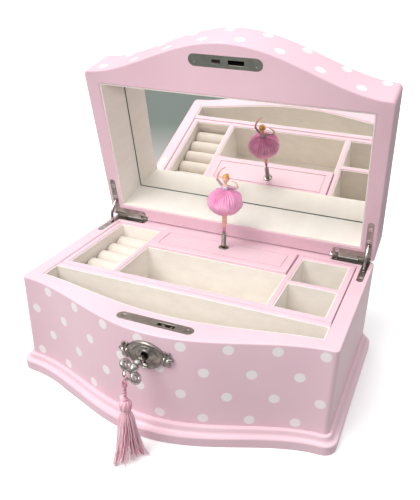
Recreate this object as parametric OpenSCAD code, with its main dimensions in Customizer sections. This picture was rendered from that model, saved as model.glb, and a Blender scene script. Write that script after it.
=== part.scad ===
// Ballerina jewellery box: a serpentine-fronted case with a hinged mirror lid, a lift-top
// tray, a lock with its key and tassel, and a musical movement that turns a sprung figure.
// Millimetres. X runs to the right, Y to the back, Z up. The origin lies on the surface
// that the box stands on, under the middle of the straight part of the case.

/* [Case] */
// Width of the case over its side walls
case_w = 254; // [220:1:300]
// Depth of the case at its straight sides
case_d = 143; // [130:0.5:170]
// How far the front swells past the straight sides
front_bow = 31.5; // [10:0.5:40]
// Fullness of the front's swell, from 1, slender, down to blunt
bow_power = 0.87; // [0.6:0.01:1]
// Height of the case's rim above the table
rim_z = 85.5; // [80:0.5:110]
// Thickness of the side walls
side_t = 12.7; // [10:0.1:16]
// Thickness of the back wall
back_t = 12.5; // [11:0.1:16]
// Thickness of the front wall at its ends
front_t = 11.5; // [8:0.5:14]
// How far the inner face of the front wall swells
bin_bow = 17; // [5:0.5:20]
// Radius of the upright corners of the case and the lid
corner_r = 4; // [1:0.1:5]

/* [Plinth] */
// Height of the moulded plinth with its felt
plinth_h = 13.6; // [10:0.1:20]
// How far the plinth stands out past the walls
plinth_out = 7; // [4:0.1:12]
// How much further the plinth's front swells than the wall's
plinth_swell = 2.4; // [0:0.1:6]
// Radius of the plinth's corners
plinth_r = 10; // [5:0.5:14]
// Thickness of the felt under the plinth
felt_t = 0.5; // [0.5:0.1:2]
// How far the felt stays inside the plinth's edge
felt_inset = 3; // [1:0.5:8]

/* [Lid] */
// Height of the lid over its rim
lid_h = 42; // [38:0.5:60]
// Thickness of the lid's moulded top board
lid_top_t = 9; // [7:0.5:12]
// Radius of the rounded top edge
lid_round = 9; // [4:0.5:9]
// Distance from the rim to the mirror's face
mirror_depth = 35.5; // [31:0.5:40]
// Thickness of the mirror
mirror_t = 2; // [1.5:0.5:3]
// Width of the lid's front rail where the rail is narrowest
lid_front_t = 10.3; // [6:0.1:14]
// Angle from closed at which the lid stops
lid_open = 77; // [60:1:84]
// Gap between the two rims when the lid is shut
rim_gap = 0.5; // [0.4:0.1:1]
// Thickness of the padded lining
lining_t = 0.9; // [0.6:0.1:1.5]
// Distance from a rim down to the edge of its lining
lining_drop = 0.8; // [0.4:0.1:3]

/* [Tray] */
// Gap between the tray and the case
tray_gap = 0.6; // [0.4:0.1:1.5]
// Thickness of the tray's outer walls
tray_wall = 4.8; // [3:0.1:6]
// Thickness of the tray's dividers
divider_t = 4.5; // [3:0.1:6]
// Height of the compartments' floor above the table
tray_floor_z = 44; // [32:1:54]
// Thickness of the boards under the compartments
tray_floor_t = 3; // [2:0.5:5]
// Distance from the case's outer back to the front of the tray
tray_front_d = 108.6; // [100:0.1:115]
// Depth of the right-hand rear compartment
rear_pocket_d = 41.8; // [30:0.1:50]
// Half width of the middle compartment
middle_half = 63.7; // [50:0.1:80]
// Thickness of the partition behind the front bin
partition_t = 5.2; // [4:0.1:8]
// Height of the front bin's floor above the table
bin_floor_z = 40; // [28:1:54]
// Number of padded rolls in the ring compartment
ring_rolls_n = 5; // [3:1:6]
// Distance from the rim down to the top of the ring rolls
ring_roll_drop = 9; // [6:0.5:14]

/* [Music cover] */
// How far the music cover stands above the rim
cover_rise = 2; // [1:0.1:4]
// Thickness of the music cover
cover_t = 4; // [3:0.1:5]
// Width of the ledge that carries the cover
cover_ledge = 2.5; // [1.5:0.1:4]
// Distance from the cover's edge to its groove
groove_inset = 6.4; // [4:0.1:10]
// Width of the groove
groove_w = 0.8; // [0.5:0.1:1.5]
// Depth of the groove
groove_depth = 0.7; // [0.4:0.1:1.5]

/* [Hinges] */
// Height of the hinge pin above the case's rim
pivot_rise = 3.5; // [3.2:0.1:5]
// Distance of the hinge pin in front of the case's outer back
pivot_d = 1; // [0.6:0.1:2]
// Radius of the hinge knuckles
knuckle_r = 2.5; // [2.2:0.1:2.9]
// Radius of the hinge pin
hinge_pin_r = 1; // [0.8:0.1:1.3]
// Radial clearance of the pin in the lid's knuckle
pin_clear = 0.05; // [0.03:0.01:0.1]
// Thickness of the hinge leaves
leaf_t = 1.2; // [1:0.1:1.5]
// Width of the leaf along a side wall
leaf_side_w = 5.6; // [5:0.1:7]
// Length of the leaf along a side wall, from the box's back
leaf_side_len = 37; // [30:0.5:50]
// Width of the leaf along the back wall
leaf_back_w = 9; // [8:0.1:11]
// Length of the hinge barrel
barrel_len = 33; // [28:0.5:40]
// Distance from the case's outer side to the hinge
hinge_inset = 3.4; // [3:0.1:5]
// Radius of the arc that the stay links follow about the pin
stay_r = 15.6; // [14:0.1:20]
// Width of a stay link along the pin
stay_w = 1.5; // [1.2:0.1:2]
// Height of a stay link across its arc
stay_t = 3; // [2:0.1:4]
// Clearance round a stay link in its slots
stay_clear = 0.5; // [0.4:0.1:0.8]
// Angle of a stay link that stays in each slot when the lid is open
stay_hold = 10; // [6:1:14]

/* [Lock] */
// Length of the lock plate and of the strike plate
plate_len = 60; // [50:1:70]
// Width of both plates
plate_w = 9.6; // [8:0.1:12]
// Thickness of both plates
plate_t = 1.2; // [1:0.1:1.5]
// Distance from the foremost point of the front back to the middle of the plates
plate_setback = 14.3; // [12:0.1:18]
// Distance between the screws of a plate
plate_screw_pitch = 50; // [40:1:56]
// Width of the lock's steel case
lock_w = 40; // [36:1:46]
// Thickness of the lock's steel case
lock_t = 7; // [6:0.1:8]
// Height of the lock's steel case under its plate
lock_h = 26; // [25:0.5:32]
// Thickness of the lock case's sheet
lock_sheet = 0.8; // [0.6:0.1:1]
// Height of the key's axis above the table
key_z = 68; // [66:0.5:70]
// Middle of the slot for the hook bolt
slot_x = 9; // [8:0.1:10]
// Length of the slot for the hook bolt
slot_len = 13; // [12:0.1:15]
// Width of the slot for the hook bolt
slot_w = 3.6; // [3.2:0.1:4]
// Outer radius of the hook bolt
hook_r = 8; // [7.5:0.1:8.2]
// Thickness of the hook bolt
hook_t = 2.2; // [1.6:0.1:2.6]
// Angle that the key and the hook bolt turn through
key_turn = 110; // [80:5:110]

/* [Key and tassel] */
// Radius of the key's shank
shank_r = 2.2; // [1.8:0.1:2.6]
// Distance that the key stands out of the front
key_out = 29; // [24:0.5:34]
// Length of the key's bow
bow_len = 15; // [12:0.5:18]
// Radius of a lobe of the key's bow
lobe_r = 4.1; // [3.2:0.1:5]
// Distance from the key's axis to the middle of a side lobe
lobe_off = 5.4; // [4:0.1:7]
// Thickness of the key's bow
bow_t = 2.4; // [2:0.1:3]
// Lean of the key's bow from upright
bow_lean = 38; // [0:1:45]
// Height of the top of the tassel's head above the table
tassel_head_z = 51; // [44:1:56]
// Radius of the tassel's cord
tassel_cord_r = 1.1; // [0.6:0.1:1.4]
// Height of the tassel's head
head_h = 15; // [10:0.5:18]
// Largest radius of the tassel's head
head_r = 4.4; // [3:0.1:5.5]

/* [Figure] */
// Distance from the case's outer back to the figure's axis
figure_d = 30.2; // [30:0.1:31]
// Height of the figure's toes above the cover
toes_rise = 15.5; // [14:0.5:20]
// Height from the toes to the crown of the head
figure_h = 54; // [50:0.5:56]
// Radius of the tutu
tutu_r = 15.3; // [12:0.1:15.5]
// Angle that the figure folds through as the lid shuts
figure_fold = 70; // [66:1:72]
// Mean radius of the spring under the figure
spring_r = 1.7; // [1.5:0.1:2]
// Radius of the spring's wire
spring_wire_r = 0.35; // [0.25:0.05:0.45]
// Turns of the spring
spring_turns = 12; // [5:1:13]

/* [Movement] */
// Module of the crown wheel and its pinion
crown_module = 1; // [0.9:0.05:1]
// Teeth of the crown wheel
crown_teeth = 28; // [24:2:30]
// Teeth of the pinion that the crown wheel drives
pinion_teeth = 12; // [12:1:13]
// Height of the mainspring barrel's axis above the table
barrel_z = 37; // [35.5:0.5:38]
// Module of the governor's gears
fine_module = 0.6; // [0.5:0.05:0.6]
// Teeth of the wheel that drives the governor
wheel_teeth = 40; // [36:1:40]
// Teeth of the governor's pinion
governor_teeth = 8; // [8:1:9]
// Radius of the pinned cylinder
cylinder_r = 6.5; // [6:0.1:6.8]
// Number of teeth of the comb
comb_teeth = 18; // [12:1:18]
// Distance between the comb's teeth
comb_pitch = 1.1; // [1:0.05:1.15]
// Radius of the winding arbor
arbor_r = 2.2; // [2:0.1:2.5]
// Span of the winding key's wings
wing_span = 26; // [20:1:30]

/* [Hidden] */
$fn = 48;

pink = "#f3cfd8";
deep_pink = "#e889b4";
cream = "#efe6da";
nickel = "#a9a8a6";
brass = "#c9a24a";
skin = "#e8b79a";
front_steps = 40;
corner_steps = 5;
hair_gap = 0.3;
case_half = case_w / 2;
inner_half = case_half - side_t;
hidden_cut = 1;

// A distance from the case's outer back as a place along Y
function yb(d) = case_d / 2 - d;
// A raised cosine: 1 in the middle and 0, without a slope, at both ends
function swell(x, half) = 0.5 * (1 + cos(180 * min(abs(x) / half, 1)));
// An arc of points about a centre
function arc(cx, cy, r, from, to, steps) =
    [for (i = [0:steps]) let (a = from + (to - from) * i / steps) [cx + r * cos(a), cy + r * sin(a)]];
// The front's curve, from left to right
function front_curve(half, d, bow, power = bow_power) =
    [for (i = [0:front_steps]) let (x = half * (2 * i / front_steps - 1))
        [x, yb(d) - bow * pow(swell(x, half), power)]];
// Outline of the case, grown by out on every side and with corners of radius r
function outline(out, r, bow = front_bow) =
    let (w = case_half + out, back = yb(-out), front = yb(case_d + out), s = corner_steps)
    concat(
        arc(-w + r, front + r, r, 180, 270 - 90 / s, s - 1),
        front_curve(w - r, case_d + out, bow),
        arc(w - r, front + r, r, 270 + 90 / s, 360, s - 1),
        arc(w - r, back - r, r, 0, 90, s),
        arc(-w + r, back - r, r, 90, 180, s)
    );
// Y of the front wall's outer face
function front_face(x) = yb(case_d) - front_bow * pow(swell(x, case_half - corner_r), bow_power);
// Inner face of the front wall, moved inwards by inset
bin_power = 0.7;
function bin_curve(inset) =
    front_curve(inner_half - inset, case_d - front_t - inset, bin_bow, bin_power);

// A solid through rings of points that all have the same count
module loft(rings) {
    n = len(rings[0]);
    m = len(rings);
    points = [for (ring = rings) each ring];
    sides = [for (k = [0:m - 2], i = [0:n - 1]) let (a = k * n + i, b = k * n + (i + 1) % n)
        each [[a, a + n, b], [b, a + n, b + n]]];
    first = [for (i = [0:n - 1]) i];
    last = [for (i = [n - 1:-1:0]) (m - 1) * n + i];
    polyhedron(points, concat([first], sides, [last]));
}
function lift(outline_points, z) = [for (p = outline_points) [p[0], p[1], z]];

// A ring of points round the path pts at index i, with its own radius
function unit(v) = v / norm(v);
function path_dir(pts, i) = unit(pts[min(i + 1, len(pts) - 1)] - pts[max(i - 1, 0)]);
function tube_ring(pts, i, r, sides, ref) =
    let (t = path_dir(pts, i), u = unit(cross(t, ref)), v = cross(t, u))
    [for (k = [0:sides - 1]) let (a = 360 * k / sides) pts[i] + r * (cos(a) * u + sin(a) * v)];
module tube(pts, radii, sides, ref) {
    loft([for (i = [0:len(pts) - 1]) tube_ring(pts, i, radii[i], sides, ref)]);
}

// A box with its corner at the lowest values
module block(x0, x1, y0, y1, z0, z1) {
    translate([x0, min(y0, y1), z0]) cube([x1 - x0, abs(y1 - y0), z1 - z0]);
}
// A plate with round ends, its lower face at z 0
module round_plate(len, w, t) {
    linear_extrude(t) {
        square([len - w, w], center = true);
        for (s = [-1, 1]) translate([s * (len - w) / 2, 0]) circle(d = w);
    }
}
// A countersunk screw with its head's face at z 0 and its point down
screw_head_r = 2;
screw_head_h = 1;
screw_shank_r = 0.9;
screw_slot_w = 0.5;
screw_slot_depth = 0.4;
module screw(len) {
    difference() {
        union() {
            translate([0, 0, -screw_head_h])
                cylinder(h = screw_head_h, r1 = screw_shank_r, r2 = screw_head_r, $fn = 24);
            translate([0, 0, -len]) cylinder(h = len, r = screw_shank_r, $fn = 24);
        }
        translate([0, 0, -screw_slot_depth / 2])
            cube([2 * screw_head_r, screw_slot_w, 2 * screw_slot_depth], center = true);
        translate([0, 0, -screw_slot_depth / 2])
            cube([screw_slot_w, 2 * screw_head_r, 2 * screw_slot_depth], center = true);
    }
}
// The hole that such a screw fills
module screw_hole(len) {
    translate([0, 0, -screw_head_h])
        cylinder(h = screw_head_h, r1 = screw_shank_r, r2 = screw_head_r, $fn = 24);
    translate([0, 0, -len]) cylinder(h = len + hidden_cut, r = screw_shank_r, $fn = 24);
}

// ---- plinth -------------------------------------------------------------------------
// Half profile of the moulding, as shares of plinth_out and of the board's height: an upright
// band, a cove above it, a small step and a fillet against the wall
band_top = 0.53;
edge_in = 0.94;
cove_low = 0.585;
cove_in = 0.43;
cove_high = 0.84;
step_in = 0.38;
step_high = 0.92;
fillet_in = 0.05;
cove_steps = 7;
fillet_steps = 3;
function plinth_profile() = concat(
    [[1, 0], [1, band_top]],
    [for (i = [0:cove_steps]) let (a = 90 * i / cove_steps)
        [edge_in - (edge_in - cove_in) * sin(a), cove_high - (cove_high - cove_low) * cos(a)]],
    [for (i = [0:fillet_steps]) let (a = 90 * i / fillet_steps)
        [fillet_in + (step_in - fillet_in) * cos(a), step_high + (1 - step_high) * sin(a)]]
);
function plinth_outline(share) = outline(plinth_out * share, corner_r + (plinth_r - corner_r) * share,
    front_bow + plinth_swell * share);
module plinth() {
    board_h = plinth_h - felt_t;
    color(pink) loft([for (p = plinth_profile()) lift(plinth_outline(p[0]), felt_t + board_h * p[1])]);
}
module base_felt() {
    color(cream) linear_extrude(felt_t) polygon(plinth_outline(1 - felt_inset / plinth_out));
}

// ---- case ---------------------------------------------------------------------------
wall_h = rim_z - plinth_h;
front_join_y = yb(case_d - front_t);
pivot_y = yb(pivot_d);
pivot_z = rim_z + pivot_rise;
plate_d = case_d + front_bow - plate_setback;
plate_y = yb(plate_d);
hinge_x0 = case_half - hinge_inset - barrel_len;
hinge_x1 = case_half - hinge_inset;
leaf_x = case_half - side_t / 2;
stay_inner = stay_r - stay_t / 2 - stay_clear;
stay_outer = stay_r + stay_t / 2 + stay_clear;
stay_travel = lid_open / 2;
// Angles of the stay links' ends about the pin, from level in front, with the lid open
stay_low = -asin(pivot_rise / stay_r) - stay_hold;
stay_high = lid_open - asin((pivot_rise - rim_gap) / stay_r) + stay_hold;
stay_spare = 6;
// The lid's leaf stops short of the barrel, except at its own knuckle
leaf_back_d = pivot_d + knuckle_r + hair_gap;
knuckle_gap = 0.4;
web_t = 1.2;
leaf_end_d = pivot_d - web_t / 2;
outer_knuckle = 11;
inner_knuckle = 5;
lid_knuckle_x0 = hinge_x0 + inner_knuckle + knuckle_gap;
lid_knuckle_x1 = hinge_x1 - outer_knuckle - knuckle_gap;

screw_edge = 4.2;
// Where a hinge leaf's screws stand: [x from the middle of the box, distance from the back]
leaf_screws = [[leaf_x, leaf_side_len - screw_edge], [leaf_x, leaf_side_len - 2 * screw_edge - stay_r / 2],
    [hinge_x0 + screw_edge, leaf_back_w - screw_edge * 0.6]];
leaf_screw_len = 7;
screw_depth = 9;

// A ring about the hinge pin, in the stay link's plane
module stay_ring(side) {
    w = stay_w + 2 * stay_clear;
    translate([side * leaf_x - w / 2, pivot_y, pivot_z]) rotate([0, 90, 0]) difference() {
        cylinder(h = w, r = stay_outer);
        translate([0, 0, -1]) cylinder(h = w + 2, r = stay_inner);
    }
}
// The part of that ring between a height range, in front of an angle from level
module stay_cut(side, angle, z0, z1) {
    intersection() {
        stay_ring(side);
        block(side * leaf_x - side_t / 2, side * leaf_x + side_t / 2, pivot_y - stay_outer - 1,
            pivot_y - stay_inner * cos(angle), z0, z1);
    }
}
// A groove in the case that takes the stay link when the lid shuts
module case_stay_cut(side) {
    stay_cut(side, stay_travel - stay_low + stay_spare, rim_z - stay_outer, rim_z + 1);
}
module leaf_shape(side, t) {
    mirror([side < 0 ? 1 : 0, 0, 0]) linear_extrude(t) {
        translate([leaf_x - leaf_side_w / 2, yb(leaf_side_len)])
            square([leaf_side_w, leaf_side_len - leaf_end_d]);
        translate([leaf_x, yb(leaf_side_len)]) circle(d = leaf_side_w);
        translate([hinge_x0 + leaf_back_w / 4, yb(leaf_back_w)])
            square([barrel_len - leaf_back_w / 4, leaf_back_w - leaf_end_d]);
        translate([hinge_x0, yb(leaf_back_w * 3 / 4)])
            square([leaf_back_w / 4, leaf_back_w * 3 / 4 - leaf_end_d]);
        translate([hinge_x0 + leaf_back_w / 4, yb(leaf_back_w * 3 / 4)]) circle(d = leaf_back_w / 2);
    }
}
module side_wall(side) {
    difference() {
        block(side > 0 ? inner_half : -case_half, side > 0 ? case_half : -inner_half,
            front_join_y, yb(back_t), plinth_h, rim_z);
        translate([0, 0, rim_z - leaf_t]) leaf_shape(side, leaf_t + 1);
        case_stay_cut(side);
        for (p = leaf_screws) translate([side * p[0], yb(p[1]), rim_z]) screw_hole(leaf_screw_len);
    }
}
module case_left() { color(pink) side_wall(-1); }
module case_right() { color(pink) side_wall(1); }
module case_back() {
    color(pink) difference() {
        union() {
            block(-case_half, case_half, yb(back_t), yb(corner_r), plinth_h, rim_z);
            block(-case_half + corner_r, case_half - corner_r, yb(corner_r), yb(0), plinth_h, rim_z);
            for (s = [-1, 1]) translate([s * (case_half - corner_r), yb(corner_r), plinth_h])
                cylinder(h = wall_h, r = corner_r);
        }
        for (s = [-1, 1]) {
            translate([0, 0, rim_z - leaf_t]) leaf_shape(s, leaf_t + 1);
            case_stay_cut(s);
            for (p = leaf_screws) translate([s * p[0], yb(p[1]), rim_z]) screw_hole(leaf_screw_len);
        }
        for (p = bed_screws) translate([p[0], yb(plate_front_d), p[1]]) rotate([90, 0, 0])
            screw_hole(bed_screw_len);
        // bore for the winding arbor
        translate([0, yb(0) + 1, barrel_z]) rotate([90, 0, 0])
            cylinder(h = back_t + 2, r = arbor_r + wood_clear);
    }
}
wood_clear = 0.8;
lock_clear = 0.2;
keyhole_r = shank_r + 0.5;
keyhole_slot_w = 2.6;
keyhole_drop = 6.5;
module keyhole(len) {
    // round hole with a slot below it, running along -Y from the origin
    rotate([90, 0, 0]) {
        cylinder(h = len, r = keyhole_r);
        translate([-keyhole_slot_w / 2, -keyhole_drop, 0]) cube([keyhole_slot_w, keyhole_drop, len]);
    }
}
front_y = yb(case_d + front_bow);
lock_y0 = plate_y - lock_t / 2;
lock_y1 = plate_y + lock_t / 2;
module front_body() {
    linear_extrude(wall_h) polygon(concat(
        arc(-case_half + corner_r, yb(case_d) + corner_r, corner_r, 180, 270 - 90 / corner_steps,
            corner_steps - 1),
        front_curve(case_half - corner_r, case_d, front_bow),
        arc(case_half - corner_r, yb(case_d) + corner_r, corner_r, 270 + 90 / corner_steps, 360,
            corner_steps - 1),
        [[case_half, front_join_y]],
        [for (i = [front_steps:-1:0]) bin_curve(0)[i]],
        [[-case_half, front_join_y]]
    ));
}
module case_front() {
    color(pink) difference() {
        translate([0, 0, plinth_h]) front_body();
        translate([0, plate_y, rim_z - plate_t]) round_plate(plate_len, plate_w, plate_t + 1);
        block(-lock_w / 2 - lock_clear, lock_w / 2 + lock_clear, lock_y0 - lock_clear,
            lock_y1 + lock_clear, rim_z - plate_t - lock_h - lock_clear, rim_z);
        for (s = [-1, 1]) translate([s * plate_screw_pitch / 2, plate_y, rim_z]) screw_hole(screw_depth);
        translate([0, plate_y, key_z]) keyhole(-front_y + plate_y + past_front);
        for (s = [-1, 1]) translate([s * escutcheon_pin_x, 0, key_z]) rotate([90, 0, 0])
            cylinder(h = -front_y + past_front, r = escutcheon_pin_r, $fn = 24);
    }
}

// ---- tray ---------------------------------------------------------------------------
bay_depth = 34.2;
tray_half = inner_half - tray_gap;
tray_back_d = back_t + tray_gap;
tray_in_d = tray_back_d + tray_wall;
tray_front_in_d = tray_front_d - tray_wall;
side_in = tray_half - tray_wall;
pocket_in = middle_half + divider_t;
cover_back_d = tray_back_d + 0.8;
bay_wall_d = tray_back_d + bay_depth;
middle_back_d = bay_wall_d + divider_t;
right_div_d = tray_in_d + rear_pocket_d;
cover_z = rim_z + cover_rise - cover_t;
bay_half = middle_half - cover_ledge;
// The pockets: [x0, x1, distance of the back edge, distance of the front edge]
ring_pocket = [-side_in, -pocket_in, tray_in_d, tray_front_in_d];
middle_pocket = [-middle_half, middle_half, middle_back_d, tray_front_in_d];
rear_pocket = [pocket_in, side_in, tray_in_d, right_div_d];
front_pocket = [pocket_in, side_in, right_div_d + divider_t, tray_front_in_d];
pockets = [ring_pocket, middle_pocket, rear_pocket, front_pocket];
module pocket_block(p, inset, z0, z1) {
    block(p[0] + inset, p[1] - inset, yb(p[2] + inset), yb(p[3] - inset), z0, z1);
}
module tray() {
    under_z = tray_floor_z - tray_floor_t;
    color(pink) difference() {
        block(-tray_half, tray_half, yb(tray_back_d), yb(tray_front_d), plinth_h, rim_z);
        for (p = pockets) {
            pocket_block(p, 0, tray_floor_z, rim_z + 1);
            pocket_block(p, 0, plinth_h - 1, under_z);
        }
        // bay for the movement, open to the back wall
        block(-bay_half, bay_half, yb(tray_back_d - 1), yb(bay_wall_d), plinth_h - 1, rim_z + 1);
        // rebate that carries the cover
        block(-middle_half, middle_half, yb(tray_back_d - 1), yb(middle_back_d), cover_z, rim_z + 1);
    }
}
module tray_lining() {
    color(cream) for (p = pockets) difference() {
        pocket_block(p, 0, tray_floor_z, rim_z - lining_drop);
        pocket_block(p, lining_t, tray_floor_z + lining_t, rim_z + 1);
    }
}
ring_gap = 0.3;
module ring_rolls() {
    p = ring_pocket;
    x0 = p[0] + lining_t + ring_gap;
    x1 = p[1] - lining_t - ring_gap;
    span = p[3] - p[2] - 2 * lining_t - 2 * ring_gap;
    r = span / ring_rolls_n / 2;
    top = rim_z - ring_roll_drop;
    base = tray_floor_z + lining_t;
    color(cream) {
        block(x0, x1, yb(p[2] + lining_t + ring_gap), yb(p[3] - lining_t - ring_gap), base, top - r);
        for (i = [0:ring_rolls_n - 1])
            translate([x0, yb(p[2] + lining_t + ring_gap + r * (2 * i + 1)), top - r])
                rotate([0, 90, 0]) cylinder(h = x1 - x0, r = r - 0.01);
    }
}
partition_y = yb(tray_front_d + tray_gap);
bin_back_y = partition_y - partition_t;
module bin_partition() {
    color(pink) block(-inner_half, inner_half, partition_y, bin_back_y, plinth_h, rim_z);
}
function bin_outline(inset) = concat([for (p = bin_curve(inset)) p],
    [[inner_half - inset, bin_back_y - inset], [-inner_half + inset, bin_back_y - inset]]);
module bin_floor() {
    color(pink) difference() {
        translate([0, 0, plinth_h]) linear_extrude(bin_floor_z - plinth_h) polygon(bin_outline(0));
        translate([0, 0, plinth_h - 1]) linear_extrude(bin_floor_z - tray_floor_t - plinth_h + 1)
            polygon(bin_outline(tray_wall));
    }
}
module bin_lining() {
    color(cream) difference() {
        translate([0, 0, bin_floor_z]) linear_extrude(rim_z - lining_drop - bin_floor_z)
            polygon(bin_outline(0));
        translate([0, 0, bin_floor_z + lining_t]) linear_extrude(rim_z) polygon(bin_outline(lining_t));
    }
}
collar_hole_r = 4;
groove_end = groove_inset + groove_w;
cover_gap = 0.5;
module music_cover() {
    x = middle_half - cover_gap;
    top = rim_z + cover_rise;
    y0 = yb(cover_back_d);
    y1 = yb(middle_back_d);
    color(pink) difference() {
        block(-x, x, y0, y1, cover_z, top);
        difference() {
            block(-x + groove_inset, x - groove_inset, y0 - groove_inset, y1 + groove_inset,
                top - groove_depth, top + 1);
            block(-x + groove_end, x - groove_end, y0 - groove_end, y1 + groove_end,
                top - groove_depth - 1, top + 2);
        }
        translate([0, yb(figure_d), cover_z - 1]) cylinder(h = cover_t + 2, r = collar_hole_r);
    }
}
spindle_r = 1.5;
collar_rise = 1.2;
collar_r = 5.6;
module spindle_collar() {
    top = rim_z + cover_rise;
    color(nickel) translate([0, yb(figure_d), 0]) difference() {
        union() {
            translate([0, 0, cover_z]) cylinder(h = cover_t, r = collar_hole_r);
            translate([0, 0, top]) cylinder(h = collar_rise, r1 = collar_r, r2 = collar_r - 0.8);
        }
        translate([0, 0, cover_z - 1]) cylinder(h = cover_t + collar_rise + 2, r = spindle_r + hair_gap);
    }
}

// ---- lid, drawn shut and then turned to its stop --------------------------------------
module opened() {
    translate([0, pivot_y, pivot_z]) rotate([-lid_open, 0, 0]) translate([0, -pivot_y, -pivot_z])
        children();
}
lid_z = rim_z + rim_gap;
lid_wall_h = lid_h - lid_top_t;
lid_in_half = inner_half;
lid_in_d0 = back_t;
lid_in_d1 = case_d - lid_front_t;
mirror_z = lid_z + mirror_depth;
module lid_stay_cut(side) {
    stay_cut(side, stay_high - stay_travel + stay_spare, lid_z - 1, lid_z + stay_outer);
}
pin_end = 2;
module barrel_cut() {
    for (s = [-1, 1]) mirror([s < 0 ? 1 : 0, 0, 0])
        block(hinge_x0 - pin_end - hair_gap, hinge_x1 + hair_gap * 2, yb(-1), yb(leaf_back_d),
            lid_z - 1, pivot_z + knuckle_r + hair_gap);
}
strike_hole_x = -7.3;
strike_hole_w = 7;
strike_hole_h = 3.2;
strike_hole_depth = 4;
mortise_gap = 0.4;
module lid_frame() {
    color(pink) opened() difference() {
        translate([0, 0, lid_z]) linear_extrude(lid_wall_h) difference() {
            polygon(outline(0, corner_r));
            translate([-lid_in_half, yb(lid_in_d1)]) square([2 * lid_in_half, lid_in_d1 - lid_in_d0]);
        }
        for (s = [-1, 1]) {
            translate([0, 0, lid_z - 1]) leaf_shape(s, leaf_t + 1);
            lid_stay_cut(s);
            for (p = leaf_screws) translate([s * p[0], yb(p[1]), lid_z]) mirror([0, 0, 1])
                screw_hole(leaf_screw_len);
            translate([s * plate_screw_pitch / 2, plate_y, lid_z]) mirror([0, 0, 1])
                screw_hole(screw_depth);
        }
        barrel_cut();
        translate([0, plate_y, lid_z - 1]) round_plate(plate_len, plate_w, plate_t + 1);
        // mortise that the hook swings in
        block(slot_x - slot_len, slot_x + slot_len / 2 + 1, plate_y - slot_w / 2 - mortise_gap,
            plate_y + slot_w / 2 + mortise_gap, lid_z - 1, lid_z + hook_r + 1);
        block(strike_hole_x - strike_hole_w / 2, strike_hole_x + strike_hole_w / 2,
            plate_y - strike_hole_h / 2, plate_y + strike_hole_h / 2, lid_z - 1, lid_z + strike_hole_depth);
    }
}
round_steps = 6;
function lid_top_rings() = concat(
    [lift(outline(0, corner_r), lid_z + lid_wall_h)],
    [for (i = [0:round_steps]) let (a = 90 * i / round_steps)
        lift(outline(-lid_round * (1 - cos(a)), corner_r + lid_round * (1 - cos(a)) / 2),
            lid_z + lid_h - lid_round + lid_round * sin(a))]
);
module lid_top() {
    color(pink) opened() difference() {
        loft(lid_round < lid_top_t ? lid_top_rings() : [for (i = [1:round_steps + 1]) lid_top_rings()[i]]);
        block(-lid_in_half, lid_in_half, yb(lid_in_d0), yb(lid_in_d1), lid_z + lid_wall_h - 1,
            mirror_z + mirror_t);
    }
}
module lid_lining() {
    color(cream) opened() difference() {
        block(-lid_in_half, lid_in_half, yb(lid_in_d0), yb(lid_in_d1), lid_z + lining_drop, mirror_z);
        block(-lid_in_half + lining_t, lid_in_half - lining_t, yb(lid_in_d0 + lining_t),
            yb(lid_in_d1 - lining_t), lid_z - 1, mirror_z + 1);
    }
}
module lid_mirror() {
    color("#c9d6d6") opened()
        block(-lid_in_half, lid_in_half, yb(lid_in_d0), yb(lid_in_d1), mirror_z, mirror_z + mirror_t);
}
module plate_holes(z0) {
    for (s = [-1, 1]) translate([s * plate_screw_pitch / 2, plate_y, z0]) screw_hole(screw_depth);
}
module hook_slot(z0, z1) {
    block(slot_x - slot_len / 2, slot_x + slot_len / 2, plate_y - slot_w / 2, plate_y + slot_w / 2, z0, z1);
}
module strike_plate() {
    color(nickel) opened() difference() {
        translate([0, plate_y, lid_z]) round_plate(plate_len, plate_w, plate_t);
        hook_slot(lid_z - 1, lid_z + plate_t + 1);
        block(strike_hole_x - strike_hole_w / 2, strike_hole_x + strike_hole_w / 2,
            plate_y - strike_hole_h / 2, plate_y + strike_hole_h / 2, lid_z - 1, lid_z + plate_t + 1);
        translate([0, 0, 2 * lid_z]) mirror([0, 0, 1]) plate_holes(lid_z);
    }
}
module strike_screws() {
    color(nickel) opened() for (s = [-1, 1])
        translate([s * plate_screw_pitch / 2, plate_y, lid_z]) mirror([0, 0, 1]) screw(screw_depth);
}

// ---- hinges -------------------------------------------------------------------------
module knuckle(x0, x1, z0, bore_r) {
    // barrel section on a web that stands on its leaf at z0
    difference() {
        union() {
            translate([x0, pivot_y, pivot_z]) rotate([0, 90, 0]) cylinder(h = x1 - x0, r = knuckle_r);
            block(x0, x1, pivot_y - web_t / 2, pivot_y + web_t / 2, z0, pivot_z);
        }
        translate([x0 - 1, pivot_y, pivot_z]) rotate([0, 90, 0]) cylinder(h = x1 - x0 + 2, r = bore_r);
    }
}
module case_leaf(side) {
    color(nickel) difference() {
        union() {
            translate([0, 0, rim_z - leaf_t]) leaf_shape(side, leaf_t);
            mirror([side < 0 ? 1 : 0, 0, 0]) {
                knuckle(hinge_x0, hinge_x0 + inner_knuckle, rim_z - leaf_t, hinge_pin_r);
                knuckle(hinge_x1 - outer_knuckle, hinge_x1, rim_z - leaf_t, hinge_pin_r);
            }
        }
        case_stay_cut(side);
        for (p = leaf_screws) translate([side * p[0], yb(p[1]), rim_z]) screw_hole(leaf_screw_len);
    }
}
module case_leaf_left() { case_leaf(-1); }
module case_leaf_right() { case_leaf(1); }
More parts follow.
